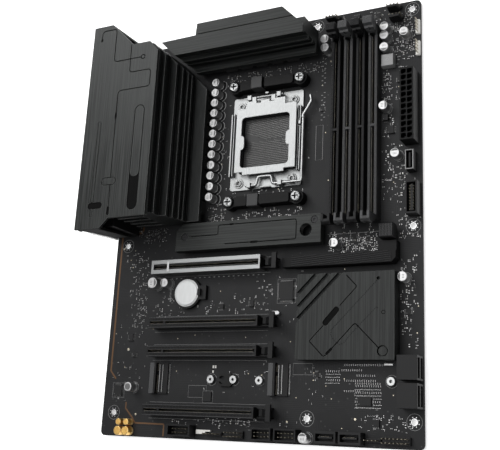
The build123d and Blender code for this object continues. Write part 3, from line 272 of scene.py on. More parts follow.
def mix(nodes, links, factor, a, b, blend="MIX"):
    """Mix two colours, each linked or constant, by a linked or constant factor."""
    node = made(nodes, "Mix", data_type="RGBA", blend_type=blend)
    for name, value in (("Factor", factor), ("A", a), ("B", b)):
        if isinstance(value, float):
            node.inputs[name].default_value = value
        elif isinstance(value, tuple):
            node.inputs[name].default_value = (*value, 1)
        else:
            links.new(value, node.inputs[name])
    return node.outputs["Result"]


def edge_mask(nodes, links):
    """Rounded normal, and a mask that is 1 on the corners of the surface and 0 on its flats."""
    rounded = made(nodes, "Bevel", {"Radius": EDGE_RADIUS}, samples=4)
    dot = made(nodes, "VectorMath", operation="DOT_PRODUCT")
    links.new(made(nodes, "NewGeometry").outputs["True Normal"], dot.inputs[0])
    links.new(rounded.outputs["Normal"], dot.inputs[1])
    band = made(nodes, "MapRange", {"From Min": 0.995, "From Max": 0.90})
    links.new(dot.outputs["Value"], band.inputs["Value"])
    return rounded.outputs["Normal"], band.outputs["Result"]


def bumped(nodes, links, bsdf, source, distance, strength, normal=None):
    """Bump the shader's surface by a linked height."""
    bump = made(nodes, "Bump", {"Strength": strength, "Distance": distance})
    links.new(source, bump.inputs["Height"])
    if normal is not None:
        links.new(normal, bump.inputs["Normal"])
    links.new(bump.outputs["Normal"], bsdf.inputs["Normal"])


def surface(name, dark, light, metallic, rough, scale=900, stretch=(1, 1, 1), bump=0.00004, strength=0.5,
            edge=None, specular=None, floors=(), crevice=0.0, contrast=0.22, end=None):
    """Grained surface: two tones, uneven roughness, fine bump, painted highlights on the edges and painted
    shade on engraved floors.

    Grain is in features per metre, stretched along the axes. Floors are the heights of engraved lines, whose
    floors are painted dark as shade, crevice the reach of the painted shade in corners, and end the colour
    painted as shade on the faces towards the front edge.
    """
    look, nodes, links, bsdf = node_tree(name)
    dark, light, edge = shade(dark), shade(light), shade(edge)
    grain = noise(nodes, links, scale, stretch)
    cloud = noise(nodes, links, 38.0, (1, 1, 1), 2.0)
    colour = ramp(nodes, links, grain, ((0.5 - contrast, dark), (0.5 + contrast, light)))
    tone = ramp(nodes, links, cloud, ((0.3, 0.93), (0.7, 1.0)))
    colour = mix(nodes, links, 1.0, colour, tone, "MULTIPLY")
    normal = None
    # painted highlight: the corners are mixed towards the brighter edge colour
    if edge is not None:
        normal, mask = edge_mask(nodes, links)
        colour = mix(nodes, links, mask, colour, edge)
    roughness = spread(nodes, links, grain, rough[0], rough[1])
    # painted shade: faces turned towards -y get a darker colour and high roughness
    if end is not None:
        front_shade_mask = math_node(nodes, links, "LESS_THAN", axes(nodes, links, "Normal")["Y"], -0.9)
        colour = mix(nodes, links, front_shade_mask, colour, end)
        roughness = mix(nodes, links, front_shade_mask, roughness, shade(0.9))
    # painted shade: the floors of engraved lines are darkened and made rough
    for height in floors:
        band = math_node(nodes, links, "COMPARE", axes(nodes, links)["Z"], at(0, 0, height).z, 0.00022)
        colour = mix(nodes, links, band, colour, tuple(c * ENGRAVED_SHADE_TONE for c in dark))
        roughness = mix(nodes, links, band, roughness, shade(0.85))
    # painted shade: ambient occlusion darkens the colour in corners and crevices
    if crevice:
        gap = made(nodes, "AmbientOcclusion", {"Distance": crevice}, samples=8)
        painted_crevice_shade = ramp(nodes, links, gap.outputs["AO"], ((0.45, 0.06), (0.85, 1.0)))
        colour = mix(nodes, links, 1.0, colour, painted_crevice_shade, "MULTIPLY")
    links.new(colour, bsdf.inputs["Base Color"])
    bsdf.inputs["Metallic"].default_value = metallic
    if specular is not None:
        bsdf.inputs["Specular IOR Level"].default_value = specular
    links.new(roughness, bsdf.inputs["Roughness"])
    bumped(nodes, links, bsdf, grain, bump, strength, normal)
    return look


def cells(nodes, links, scale):
    """Voronoi cells: their distance, and the parts of each cell's random colour."""
    node = made(nodes, "TexVoronoi", {"Scale": scale})
    links.new(made(nodes, "TexCoord").outputs["Object"], node.inputs["Vector"])
    choose = made(nodes, "SeparateColor")
    links.new(node.outputs["Color"], choose.inputs["Color"])
    return node.outputs["Distance"], choose.outputs


def board_look():
    """Matt black solder mask with faint copper tracks in bundles, and tented holes."""
    look, nodes, links, bsdf = node_tree("board_mask")
    choose = cells(nodes, links, 62.0)[1]
    bundles = []
    for turn in (0.0, 90.0, 45.0):
        mapping = made(nodes, "Mapping", {"Rotation": (0, 0, math.radians(turn))})
        links.new(made(nodes, "TexCoord").outputs["Object"], mapping.inputs["Vector"])
        wave = made(nodes, "TexWave", {"Scale": 260.0, "Distortion": 0.0})
        links.new(mapping.outputs["Vector"], wave.inputs["Vector"])
        bundles.append(ramp(nodes, links, wave.outputs["Fac"], ((0.55, 0.0), (0.72, 1.0))))
    blank = shade(0.0)
    turned = math_node(nodes, links, "GREATER_THAN", choose["Red"], 0.5)
    tracks = mix(nodes, links, turned, bundles[0], bundles[1])
    slanted = math_node(nodes, links, "GREATER_THAN", choose["Green"], 0.72)
    tracks = mix(nodes, links, slanted, tracks, bundles[2])
    used = math_node(nodes, links, "GREATER_THAN", choose["Blue"], 0.45)
    tracks = mix(nodes, links, used, blank, tracks)
    distance, choose = cells(nodes, links, 330.0)
    few = math_node(nodes, links, "GREATER_THAN", choose["Red"], 0.80)
    dots = mix(nodes, links, few, blank, ramp(nodes, links, distance, ((0.16, 1.0), (0.20, 0.0))))
    mask = noise(nodes, links, 2600.0, detail=2.0)
    base = ramp(nodes, links, mask, ((0.3, (0.0122, 0.0124, 0.0131)), (0.7, (0.0170, 0.0172, 0.0180))))
    colour = mix(nodes, links, tracks, base, (0.019, 0.0193, 0.020))
    colour = mix(nodes, links, dots, colour, (0.045, 0.046, 0.045))
    links.new(colour, bsdf.inputs["Base Color"])
    links.new(spread(nodes, links, mask, 0.48, 0.62), bsdf.inputs["Roughness"])
    bsdf.inputs["Specular IOR Level"].default_value = 0.16
    bumped(nodes, links, bsdf, tracks, 0.00003, 0.5)
    return look


LOOKS = {
    "solder_mask": board_look(),
    "cover_metal": surface(
        "cover_brushed_metal", (0.0055, 0.0063, 0.0061), (0.026, 0.028, 0.027), 0.45, (0.31, 0.48), 1300,
        (1.0, 0.012, 1.0), 0.00004, 0.6, edge=(0.13, 0.135, 0.13), floors=(49.5,), specular=0.3,
        contrast=0.09, end=(0.0035, 0.0037, 0.0036)),
    "dark_metal": surface(
        "brushed_dark_metal", (0.0065, 0.0073, 0.0070), (0.025, 0.027, 0.026), 0.4, (0.38, 0.54), 1200,
        (0.012, 1.0, 1.0), 0.00004, 0.5, edge=(0.085, 0.09, 0.085), floors=(35.5, 10.5), specular=0.3,
        contrast=0.09),
    "fin_metal": surface(
        "anodised_dark_metal", (0.0085, 0.0093, 0.0090), (0.020, 0.0215, 0.021), 0.4, (0.38, 0.52), 1400,
        (1.0, 0.05, 1.0), 0.00002, 0.3, edge=(0.24, 0.245, 0.24), specular=0.3, crevice=0.004),
    "chip_metal": surface(
        "chipset_brushed_metal", (0.0046, 0.0053, 0.0051), (0.0225, 0.0243, 0.0235), 0.4, (0.38, 0.54),
        1300, (1.0, 0.012, 1.0), 0.00004, 0.6, edge=(0.085, 0.09, 0.085), floors=(10.5,), specular=0.3,
        contrast=0.09),
    "black_steel": surface(
        "black_plated_steel", (0.010, 0.010, 0.011), (0.018, 0.018, 0.019), 0.5, (0.36, 0.5), 1500,
        bump=0.00001, edge=(0.06, 0.06, 0.062), specular=0.3),
    "nickel_steel": surface(
        "nickel_plated_steel", (0.30, 0.305, 0.305), (0.44, 0.445, 0.445), 1.0, (0.30, 0.46), 700,
        (1, 0.35, 1), 0.00001, 0.35, edge=0.62, crevice=0.0012),
    "plate_steel": surface(
        "load_plate_steel", (0.21, 0.215, 0.215), (0.33, 0.335, 0.335), 1.0, (0.34, 0.50), 1100,
        (1, 0.2, 1), 0.00001, 0.4, edge=0.62, crevice=0.0022),
    "screw_steel": surface(
        "cast_screw_steel", (0.05, 0.052, 0.052), (0.36, 0.365, 0.365), 1.0, (0.24, 0.40), 1300, (1, 1, 1),
        0.0001, 0.8, edge=0.6, crevice=0.0024, contrast=0.12),
    "latch_grey": surface(
        "latch_grey_plastic", (0.040, 0.041, 0.042), (0.060, 0.061, 0.063), 0.0, (0.42, 0.58), 2400,
        bump=0.00003, strength=0.6, edge=(0.14, 0.14, 0.143), specular=0.3),
    "dark_plastic": surface(
        "deep_black_plastic", (0.0016, 0.0016, 0.0017), (0.0030, 0.0030, 0.0032), 0.0, (0.46, 0.62), 2400,
        bump=0.00003, strength=0.5, edge=(0.012, 0.012, 0.013), specular=0.15),
    "slot_steel": surface(
        "slot_shell_steel", (0.20, 0.205, 0.205), (0.23, 0.235, 0.235), 1.0, (0.36, 0.40), 260, (0.2, 1, 1),
        0.000003, 0.1, edge=0.55),
    "port_steel": surface("tinned_port_steel", 0.42, 0.58, 1.0, (0.28, 0.42), 900, bump=0.00001, edge=0.75),
    "can_metal": surface("capacitor_can", 0.34, 0.50, 0.9, (0.34, 0.50), 1300, bump=0.00002, edge=0.72),
    "gold_metal": surface(
        "gold_capacitor_can", (0.80, 0.46, 0.11), (0.95, 0.62, 0.20), 0.9, (0.28, 0.42), 1300, bump=0.00002,
        edge=(1.0, 0.85, 0.48)),
    "contact_gold": surface(
        "contact_plating", (0.34, 0.31, 0.25), (0.52, 0.47, 0.37), 1.0, (0.28, 0.42), 1800),
    "battery_steel": surface(
        "cell_steel", (0.36, 0.365, 0.365), (0.42, 0.425, 0.425), 0.9, (0.34, 0.42), 420, (1, 0.15, 1),
        0.000004, 0.2, edge=0.75),
    "black_plastic": surface(
        "black_moulded_plastic", (0.0034, 0.0034, 0.0036), (0.0062, 0.0062, 0.0065), 0.0, (0.44, 0.60),
        2400, bump=0.00003, strength=0.6, edge=(0.026, 0.026, 0.028), specular=0.22),
    "grey_plastic": surface(
        "dark_grey_plastic", (0.020, 0.0205, 0.021), (0.028, 0.0285, 0.029), 0.0, (0.42, 0.58), 2400,
        bump=0.00003, strength=0.6, edge=(0.10, 0.10, 0.103), specular=0.3),
    "choke_grey": surface(
        "pressed_ferrite", 0.030, (0.055, 0.055, 0.054), 0.1, (0.5, 0.7), 3000, bump=0.00006, specular=0.3),
    "thermal_pad": surface(
        "thermal_pad_rubber", (0.16, 0.19, 0.22), (0.21, 0.24, 0.27), 0.0, (0.65, 0.8), 2000, bump=0.00005),
    "black_rubber": surface(
        "black_rubber", 0.008, 0.012, 0.0, (0.65, 0.8), 2000, bump=0.00005, specular=0.25),
    "white_ink": surface("white_printing_ink", 0.24, 0.36, 0.0, (0.55, 0.7), 5000, bump=0.00001),
    "solder": surface("solder_tin", 0.50, 0.72, 1.0, (0.28, 0.42), 2600, bump=0.00003),
    "leg_tin": surface("dull_leg_tin", 0.10, 0.17, 1.0, (0.36, 0.5), 2600, bump=0.00003),
    "copper_track": surface(
        "masked_copper_track", (0.085, 0.042, 0.018), (0.125, 0.064, 0.028), 0.2, (0.4, 0.55), 2600,
        bump=0.00001, specular=0.3),
    "ceramic_tan": surface(
        "ceramic_capacitor", (0.052, 0.045, 0.037), (0.085, 0.074, 0.060), 0.0, (0.4, 0.55), 4200),
    "chip_black": surface(
        "epoxy_chip_body", (0.006, 0.006, 0.0063), (0.010, 0.010, 0.0107), 0.0, (0.5, 0.66), 3800,
        bump=0.00003, edge=0.026, specular=0.26),
    "white_plastic": surface(
        "white_nylon", (0.62, 0.61, 0.57), (0.74, 0.73, 0.70), 0.0, (0.4, 0.52), 1800, bump=0.00002,
        edge=(0.85, 0.84, 0.80)),
    "cap_grey": surface("pick_up_cap_grey", 0.20, 0.27, 0.0, (0.42, 0.55), 1800, bump=0.00002, edge=0.40),
    "field_base": surface("contact_field_housing", 0.004, 0.007, 0.0, (0.5, 0.6), 2600),
    "field_gold": surface(
        "contact_field_plating", (0.108, 0.108, 0.106), (0.160, 0.160, 0.157), 0.9, (0.36, 0.5), 2600),
    "mark_grey": surface("printed_can_mark", 0.085, 0.14, 0.2, (0.5, 0.65), 3200),
}
OWN_LOOKS = {"io_cover": "cover_metal", "vrm_heatsink_left": "fin_metal", "chipset_heatsink": "chip_metal",
             "board_components": "chip_black", "cpu_contacts": "field_base", "load_plate": "plate_steel",
             "socket_frame": "plate_steel", "pcie_slot_shell": "slot_steel", "socket_screws": "screw_steel",
             "cooler_screws": "screw_steel", "release_housing": "dark_plastic",
             "atx_power_connector": "dark_plastic", "cpu_power_connectors": "dark_plastic",
             "cooler_bracket_upper": "dark_plastic", "cooler_bracket_lower": "dark_plastic",
             "dimm_latch_2": "latch_grey", "dimm_latch_4": "latch_grey", "sata_ports": "chip_black"}
for name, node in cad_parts.items():
    for place in node.material_slots:
        packed_slot = place.material.name.split(".")[0]
        place.material = LOOKS[OWN_LOOKS.get(name, packed_slot)]

# ---- free board surface
TREES = [BVHTree.FromPolygons([v.co.copy() for v in obj.data.vertices],
                              [tuple(p.vertices) for p in obj.data.polygons])
         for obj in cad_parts.values()]
DOWN = Vector((0, 0, -1))


def top_height(x, y, ceiling=60.0):
    """Height of whatever a straight look down meets first, in millimetres above the board."""
    start = at(x, y, ceiling)
    highest = -9.0
    for tree in TREES:
        hit = tree.ray_cast(start, DOWN)[0]
        if hit is not None:
            highest = max(highest, (hit.z - PCB_HIGH.z) / MM)
    return highest


def is_free(x, y, width, length, ceiling=60.0):
    """Bare board under a small footprint, with nothing below the ceiling height."""
    for u in (-width / 2, 0, width / 2):
        for v in (-length / 2, 0, length / 2):
            if abs(top_height(x + u, y + v, ceiling)) > 0.05:
                return False
    return True


# ---- small surface parts
tan_bodies, black_bodies, ends = Mesh(), Mesh(), Mesh()
taken = []


def crowded(x, y, reach):
    return any(abs(x - a) < (reach[0] + r[0]) and abs(y - b) < (reach[1] + r[1]) for a, b, r in taken)


def small_part(x, y, upright, size, kind):
    """Two-ended chip part with tinned ends."""
    length, width, height = size
    reach = (width / 2 + 0.12, length / 2 + 0.12) if upright else (length / 2 + 0.12, width / 2 + 0.12)
    if crowded(x, y, reach) or not is_free(x, y, reach[0] * 2, reach[1] * 2, 20.0):
        return False
    taken.append((x, y, reach))
    body = tan_bodies if kind == "tan" else black_bodies
    cap = length * 0.2
    turn = 90 if upright else 0
    body.block(x, y, length - 2 * cap + 0.1, width * 0.96, (0.02, height * 0.97), height * 0.08, turn)
    for sign in (-1, 1):
        shift = sign * (length - cap) / 2
        px, py = (x, y + shift) if upright else (x + shift, y)
        ends.block(px, py, cap, width, (0.0, height), height * 0.1, turn)
        pad = sign * (length / 2 + 0.06)
        px, py = (x, y + pad) if upright else (x + pad, y)
        ends.block(px, py, 0.24, width, (0.0, FILM + 0.05), 0.0, turn)
    return True


SIZES = ((0.6, 0.3, 0.3), (1.0, 0.5, 0.5), (1.6, 0.8, 0.75), (2.0, 1.25, 0.9))      # length, width, height
GRID = 0.55


def cluster(x, y, count, weights=(5, 6, 2, 0), tan=0.5):
    """Chip parts on a grid inside a board area; tan is the share of capacitors."""
    for _ in range(count):
        size = RNG.choices(SIZES, weights)[0]
        kind = "tan" if RNG.random() < tan else "black"
        upright = RNG.random() < 0.55
        for _attempt in range(6):
            px = x[0] + round(RNG.random() * (x[1] - x[0]) / GRID) * GRID
            py = y[0] + round(RNG.random() * (y[1] - y[0]) / GRID) * GRID
            if small_part(px, py, upright, size, kind):
                break


def row(start, step, count, upright, size, kind):
    """Chip parts in a straight row."""
    for i in range(count):
        small_part(start[0] + step[0] * i, start[1] + step[1] * i, upright, size, kind)


CLUSTERS = (
    ((16, 32), (80, 131), 80, (6, 5, 1, 0)), ((26, 45), (141, 163), 26), ((178, 213), (126.5, 145), 64),
    ((212, 232), (160, 200), 44, (5, 6, 3, 1)), ((223, 236), (252, 292), 36), ((20, 46), (147, 166), 40),
    ((60, 92), (152, 160), 40, (5, 6, 2, 0)), ((186, 214), (126, 136), 60, (5, 5, 2, 0)),
    ((40, 62), (84, 100), 24, (6, 5, 0, 0)), ((8, 26), (118, 136), 16, (6, 4, 0, 0)),
    ((93, 128), (9, 15), 20), ((123, 137), (88, 110), 26), ((60, 120), (86, 99), 22),
    ((229, 240), (60, 122), 60), ((90, 165), (262, 271), 70, (3, 7, 4, 0), 0.8),
    ((76, 158), (154, 168), 56, (3, 7, 4, 0), 0.7), ((88, 100), (172, 262), 20, (6, 4, 0, 0)),
    ((98, 160), (168, 176), 16, (5, 5, 2, 0)), ((8, 36), (25, 80), 30, (7, 5, 0, 0)),
    ((200, 236), (10, 20), 34), ((60, 160), (10, 16), 22), ((160, 180), (262, 276), 20, (6, 4, 0, 0)),
    ((180, 226), (286, 302), 34, (4, 6, 2, 1)), ((221, 240), (262, 300), 70, (5, 6, 3, 0)),
    ((213, 224), (205, 262), 46, (5, 6, 3, 0)), ((225, 242), (132, 178), 44, (6, 6, 2, 0)),
    ((146, 160), (80, 118), 12), ((216, 232), (228, 258), 20, (4, 5, 3, 0)),
    ((100, 135), (30, 52), 10, (6, 3, 0, 0)), ((150, 176), (20, 52), 10, (6, 3, 0, 0)))
for area in CLUSTERS:
    cluster(*area)
ROWS = ((191.0, 18), (189.0, 10), (199.5, 9), (191.0, 15), (199.0, 12), (191.0, 8))      # first x, count
for line, (x0, count) in enumerate(ROWS):
    row((x0, 51.0 - 3.3 * line), (1.5, 0.0), count, True, SIZES[0], "tan" if line % 2 else "black")
for x0, y0, columns, lines in ((178.0, 47.0, 7, 5), (198.6, 39.4, 12, 9)):
    for line in range(lines):
        row((x0 + 0.6 * (line % 2), y0 - 1.9 * line), (1.5, 0.0), columns, line % 3 == 0, SIZES[0], "tan")

piece("chip_capacitors", tan_bodies, "ceramic_tan")
piece("chip_resistors", black_bodies, "chip_black")
piece("chip_part_ends", ends, "solder")

# ---- integrated circuits and their legs
legs, extra_chips, chip_dots = Mesh(), Mesh(), Mesh()


def leg_row(x, y, side, count, pitch, reach):
    """Gull-wing legs in a row centred on one side of a package. Side is the outward direction."""
    for i in range(count):
        along = (i - (count - 1) / 2) * pitch
        wide = pitch * 0.24
        outline = ((0.0, 0.55), (reach * 0.35, 0.55), (reach * 0.6, 0.05), (reach, 0.05),
                   (reach, 0.17), (reach * 0.68, 0.17), (reach * 0.45, 0.68), (0.0, 0.68))
        rings = []
        for w in (-wide, wide):
            ring = []
            for out, h in outline:
                px = x + side[0] * out + abs(side[1]) * (along + w)
                py = y + side[1] * out + abs(side[0]) * (along + w)
                ring.append((px, py, h))
            rings.append(ring)
        legs.loft(rings)


def package(x, y, width, length, height, legs_x, legs_y, pitch, new=True, reach=1.1):
    """Moulded package with legs on its x sides and y sides and a pin-one dimple."""
    if new:
        extra_chips.block(x, y, width, length, (0.1, height), 0.12)
    if legs_x:
        leg_row(x - width / 2 + 0.02, y, (-1, 0), legs_x, pitch, reach)
        leg_row(x + width / 2 - 0.02, y, (1, 0), legs_x, pitch, reach)
    if legs_y:
        leg_row(x, y - length / 2 + 0.02, (0, -1), legs_y, pitch, reach)
        leg_row(x, y + length / 2 - 0.02, (0, 1), legs_y, pitch, reach)
    dimple = ((0.34, height - 0.01), (0.30, height + 0.02))
    chip_dots.turned(x - width / 2 + 1.0, y - length / 2 + 1.0, dimple, 16)


package(147.2, 101.2, 11.0, 13.0, 1.5, 19, 16, 0.6, new=False, reach=1.2)
package(12.6, 32.4, 7.0, 7.0, 1.2, 12, 12, 0.5, new=False, reach=1.3)
package(212.6, 15.0, 5.0, 4.4, 1.6, 0, 4, 1.1, new=False)
package(222.0, 209.8, 5.0, 6.0, 1.6, 4, 0, 1.27, new=False)
package(218.6, 218.6, 4.0, 4.4, 3.0, 0, 3, 1.2, new=False, reach=0.9)
package(205.0, 28.0, 9.0, 5.0, 1.2, 0, 0, 1.0, new=False)
NEW_PACKAGES = ((20.4, 70.6, 4.0, 5.0, 1.3, 4, 0, 1.0), (24.6, 58.0, 3.0, 3.0, 1.0, 3, 0, 0.9),
                (170.6, 232.0, 3.0, 3.4, 1.0, 3, 0, 0.9), (120.8, 93.4, 3.6, 4.8, 1.4, 4, 0, 1.0),
                (196.2, 136.4, 4.0, 4.0, 1.0, 5, 5, 0.65), (206.4, 134.0, 3.0, 3.0, 1.0, 4, 4, 0.6),
                (228.6, 246.0, 3.6, 4.6, 1.3, 3, 0, 1.1), (38.6, 150.4, 3.6, 4.6, 1.3, 4, 0, 1.0),
                (234.6, 100.4, 3.0, 5.0, 1.2, 4, 0, 1.0), (234.0, 84.6, 3.6, 4.0, 1.1, 4, 0, 0.9),
                (230.6, 132.4, 4.2, 5.2, 1.3, 4, 0, 1.1), (215.4, 190.6, 3.4, 4.0, 1.2, 3, 0, 1.1),
                (96.0, 91.8, 4.6, 3.4, 1.2, 0, 4, 0.95), (171.4, 44.6, 3.4, 3.4, 1.0, 4, 4, 0.6),
                (187.0, 292.6, 4.0, 4.8, 1.3, 4, 0, 1.1), (206.0, 292.6, 4.0, 4.8, 1.3, 4, 0, 1.1),
                (196.0, 298.6, 6.0, 5.2, 1.5, 0, 4, 1.2), (212.6, 297.8, 4.0, 4.0, 1.2, 4, 4, 0.7))
for spec in NEW_PACKAGES:
    if is_free(spec[0], spec[1], spec[2] + 2.6, spec[3] + 1.0):
        package(*spec)
piece("chip_legs", legs, "leg_tin")
piece("small_packages", extra_chips, "chip_black")
piece("package_dimples", chip_dots, "mark_grey")

# quartz can, metal part beside the chipset, indicator lights and the white connector
metal_parts = Mesh()
oval = [(140.0 + 3.4 * math.copysign(abs(math.cos(a)) ** 0.6, math.cos(a)),
         86.0 + 1.5 * math.copysign(abs(math.sin(a)) ** 0.8, math.sin(a)))
        for a in (2 * math.pi * i / 28 for i in range(28))]
metal_parts.prism(oval, (0.0, 2.6), 0.4)
metal_parts.block(220.9, 53.0 - 1.6, 6.0, 1.4, (0.0, 1.0), 0.2)
piece("crystal_cans", metal_parts, "can_metal", smooth=True)
white_parts = Mesh()
white_parts.block(92.6, 49.6, 1.1, 2.0, (0, 0.7), 0.1)
white_parts.block(94.4, 49.6, 1.1, 2.0, (0, 0.7), 0.1)
white_parts.block(92.6, 46.2, 1.1, 1.6, (0, 0.7), 0.1)
white_parts.block(88.4, 5.4, 11.4, 2.8, (0, 2.5), 0.15)
piece("white_connectors", white_parts, "white_plastic")

# ---- holes, pads, tracks and printed marks
hole_pads, ink, tracks, dots = Mesh(), Mesh(), Mesh(), Mesh()
HOLES = [(x, y) for x in (10.16, 165.10, 237.49) for y in (16.51, 140.97, 298.45)]
HIDDEN_HOLES = ((165.10, 140.97), (10.16, 298.45))      # under the drive heatsink and under the cover
for x, y in HOLES:
    if (x, y) in HIDDEN_HOLES:
        continue
    for i in range(8):
        a = math.radians(22.5 + 45 * i)
        px, py = x + 3.05 * math.cos(a), y + 3.05 * math.sin(a)
        hole_pads.turned(px, py, ((0.36, 0.0), (0.36, 0.03), (0.26, 0.10)), 14)
    hole_pads.arc(x, y, 2.12, 0, 360, 0.2, (0, 0.05), 40)
    hole_pads.arc(x, y, 1.93, 0, 360, 0.09, (-BOARD_T - 0.04, 0.05), 40)
    ink.arc(x, y, 5.0, 0, 360, 0.16, steps=48)
for x, y, r in ((91.6, 40.8, 3.0), (109.5, 40.8, 3.0), (129.6, 40.4, 2.4), (222.9, 40.8, 3.0)):
    ink.arc(x, y, r + 1.0, 20, 340, 0.14, steps=40)

SOCKET_CANS = [(84.6, 263.0 - 8.28 * i) for i in range(12)]
for x, y in SOCKET_CANS:
    ink.arc(x + 1.2, y, 4.1, -78, 78, 0.45, steps=18)
LOOSE_CANS = ((174.2, 283.4), (174.5, 276.6), (219.4, 285.0), (219.4, 278.2), (219.4, 269.2), (233.7, 278.5),
              (218.9, 225.4), (227.3, 190.2), (184.5, 131.4), (51.0, 109.5), (232.3, 106.3), (165.8, 4.2))
BIG_CAN = (40.7, 109.8)
PLAIN_CAN = (26.5, 34.6)
for x, y in (*LOOSE_CANS, BIG_CAN, PLAIN_CAN):
    ink.arc(x, y, 4.7 if (x, y) == BIG_CAN else 3.9, -100, 100, 0.22, steps=22)


def frame_line(x, y, width=0.18):
    ink.strip(((x[0], y[0]), (x[1], y[0]), (x[1], y[1]), (x[0], y[1])), width, closed=True)


frame_line((166.0, 171.4), (194.0, 220.0))
frame_line((140.2, 154.2), (92.8, 109.6), 0.14)
frame_line((7.4, 17.8), (27.2, 37.6), 0.14)
frame_line((85.0, 93.0), (25.0, 33.0), 0.14)
frame_line((199.4, 210.6), (24.6, 31.4), 0.14)
frame_line((73.0, 87.6), (28.4, 36.6), 0.14)
frame_line((154.0, 168.0), (44.6, 52.0), 0.14)
for y in (120.60, 79.96, 59.64, 19.00):
    for sign in (-1, 1):
        ink.strip(((41.0, y + sign * 5.6), (134.0, y + sign * 5.6)), 0.12)
for i in range(22):
    ink.strip(((44.0 + 4.0 * i, 113.6), (45.3 + 4.0 * i, 113.6)), 0.4)
    if i < 20:
        ink.strip(((44.0 + 4.2 * i, 127.0), (45.0 + 4.2 * i, 127.0)), 0.3)
for i in range(9):
    ink.strip(((51.4, 97.0 + 1.1 * i), (54.4, 98.2 + 1.1 * i)), 0.24)
for x in (180.2, 189.5, 198.7, 208.0):
    ink.strip(((x - 0.4, 139.0), (x + 7.8, 139.0)), 0.16)
for i in range(26):
    x, y = 170.0 + 2.0 * (i % 2), 224.0 + 1.9 * i
    if i not in (4, 12, 13):
        ink.block(x, y, 1.2, 0.35, (0, FILM))
for x, y in ((12.6, 26.0), (141.0, 110.6), (85.2, 34.0), (199.0, 23.8), (171.0, 235.0), (160.4, 196.0)):
    ink.prism(((x, y), (x + 1.3, y), (x, y + 1.3)), (0, FILM))
for _ in range(420):
    x, y = RNG.uniform(4, 240), RNG.uniform(4, 300)
    wide, tall = RNG.choice(((0.9, 0.22), (0.22, 0.9), (1.6, 0.2), (0.2, 1.5)))
    near = any(abs(x - a) < 4.5 and abs(y - b) < 4.5 for a, b, r in taken)
    if near and is_free(x, y, wide, tall) and not crowded(x, y, (wide / 2, tall / 2)):
        ink.block(x, y, wide, tall, (0, FILM))
piece("hole_pads", hole_pads, "solder")
piece("printed_marks", ink, "white_ink")

tracks.strip(((4.2, 151.0), (4.2, 46.4), (9.0, 41.0), (9.0, 40.6)), 1.4)
tracks.strip(((20.4, 24.0), (20.4, 19.6), (27.0, 13.0), (29.6, 9.6), (54.0, 9.4), (54.4, 9.0), (54.4, 1.2)),
             1.1)
tracks.strip(((11.4, 156.0), (17.0, 150.6), (21.6, 150.6), (23.2, 152.4), (23.2, 163.0)), 1.1)
piece("audio_tracks", tracks, "copper_track")
for x, y, r in ((18.2, 62.0, 1.0), (29.4, 15.6, 0.8), (198.5, 17.0, 0.8), (6.6, 139.0, 0.7),
                (150.6, 14.0, 0.7)):
    dots.turned(x, y, ((r, 0.0), (r * 0.96, 0.04), (r * 0.6, 0.09)), 24)
for _ in range(120):
    x, y = RNG.uniform(3, 241), RNG.uniform(3, 302)
    if is_free(x, y, 1.0, 1.0) and not crowded(x, y, (0.5, 0.5)):
        dots.turned(x, y, ((0.36, 0.0), (0.34, 0.03), (0.20, 0.05)), 10)
piece("test_points", dots, "contact_gold")

# ---- capacitor tops
CAN_TOP = 8.5
GOLD_CAN_TOP = 6.7
can_marks, gold_marks = Mesh(), Mesh()


def top_mark(mesh, x, y, radius, h, turn):
    """Printed half-moon on a can's top, with the can's code as three plain bars."""
    outline = []
    for i in range(15):
        a = math.radians(turn - 62 + 124 * i / 14)
        outline.append((x + radius * math.cos(a), y + radius * math.sin(a)))
    mesh.prism(outline, (h, h + FILM))
    c, s = math.cos(math.radians(turn)), math.sin(math.radians(turn))
    for k in (-1, 0, 1):
        px, py = x - c * radius * 0.25 - s * k * radius * 0.36, y - s * radius * 0.25 + c * k * radius * 0.36
        mesh.block(px, py, radius * 0.55, radius * 0.12, (h, h + FILM), 0.0, turn)


for x, y in SOCKET_CANS:
    top_mark(can_marks, x, y, 2.75, CAN_TOP, RNG.choice((0, 0, 0, 180)) + RNG.uniform(-6, 6))
for x, y in LOOSE_CANS:
    top_mark(can_marks, x, y, 2.75, CAN_TOP, RNG.choice((90, 0, 180, 270)))
top_mark(can_marks, *BIG_CAN, 3.4, CAN_TOP, 0)
can_marks.turned(*PLAIN_CAN, ((2.3, CAN_TOP - 0.01), (2.3, CAN_TOP + FILM)), 32)
for x, y, r in ((19.2, 3.9, 3.1), (25.8, 3.9, 3.1), (19.4, 10.0, 2.3), (26.0, 10.0, 2.3)):
    gold_marks.arc(x, y, r - 0.35, 0, 360, 0.12, (GOLD_CAN_TOP - 0.01, GOLD_CAN_TOP + FILM), 32)
piece("can_marks", can_marks, "mark_grey")
piece("gold_can_marks", gold_marks, "mark_grey")
can_bases = Mesh()
for x, y in SOCKET_CANS:
    can_bases.block(x, y, 7.4, 7.0, (0.0, 0.9), 0.3)
piece("can_bases", can_bases, "black_plastic")

# ---- processor contact field
SOCKET = (128.3, 211.5)
FIELD_BASE = 1.99
COLUMN, LINE = 1.08, 1.72      # steps across and along the field
field = Mesh()


def tip(x, y, lean, wide, tall, left, right):
    """Outline of a contact tip, leaning across the field and as high at each end as given."""
    return [(x - wide, y - tall - lean, left), (x + wide, y - tall + lean, right),
            (x + wide, y + tall + lean, right), (x - wide, y + tall - lean, left)]


# each half has its own first row, slant of its rows, and limits
HALVES = ((-18.2, -0.30, SOCKET[1] - 18.29, 212.6), (9.48, -0.44, 213.91, SOCKET[1] + 18.3))
for first, slant, low, high in HALVES:
    for i in range(34):
        for j in range(18):
            x = SOCKET[0] - 18.0 + COLUMN * i
            y = SOCKET[1] + first + LINE * j + slant * i
            if low < y < high:
                field.loft([tip(x, y, slant / 2, 0.52, 0.42, FIELD_BASE, FIELD_BASE),
                            tip(x, y, slant / 2, 0.50, 0.34, 2.22, 2.42)])
piece("contact_tips", field, "field_gold")

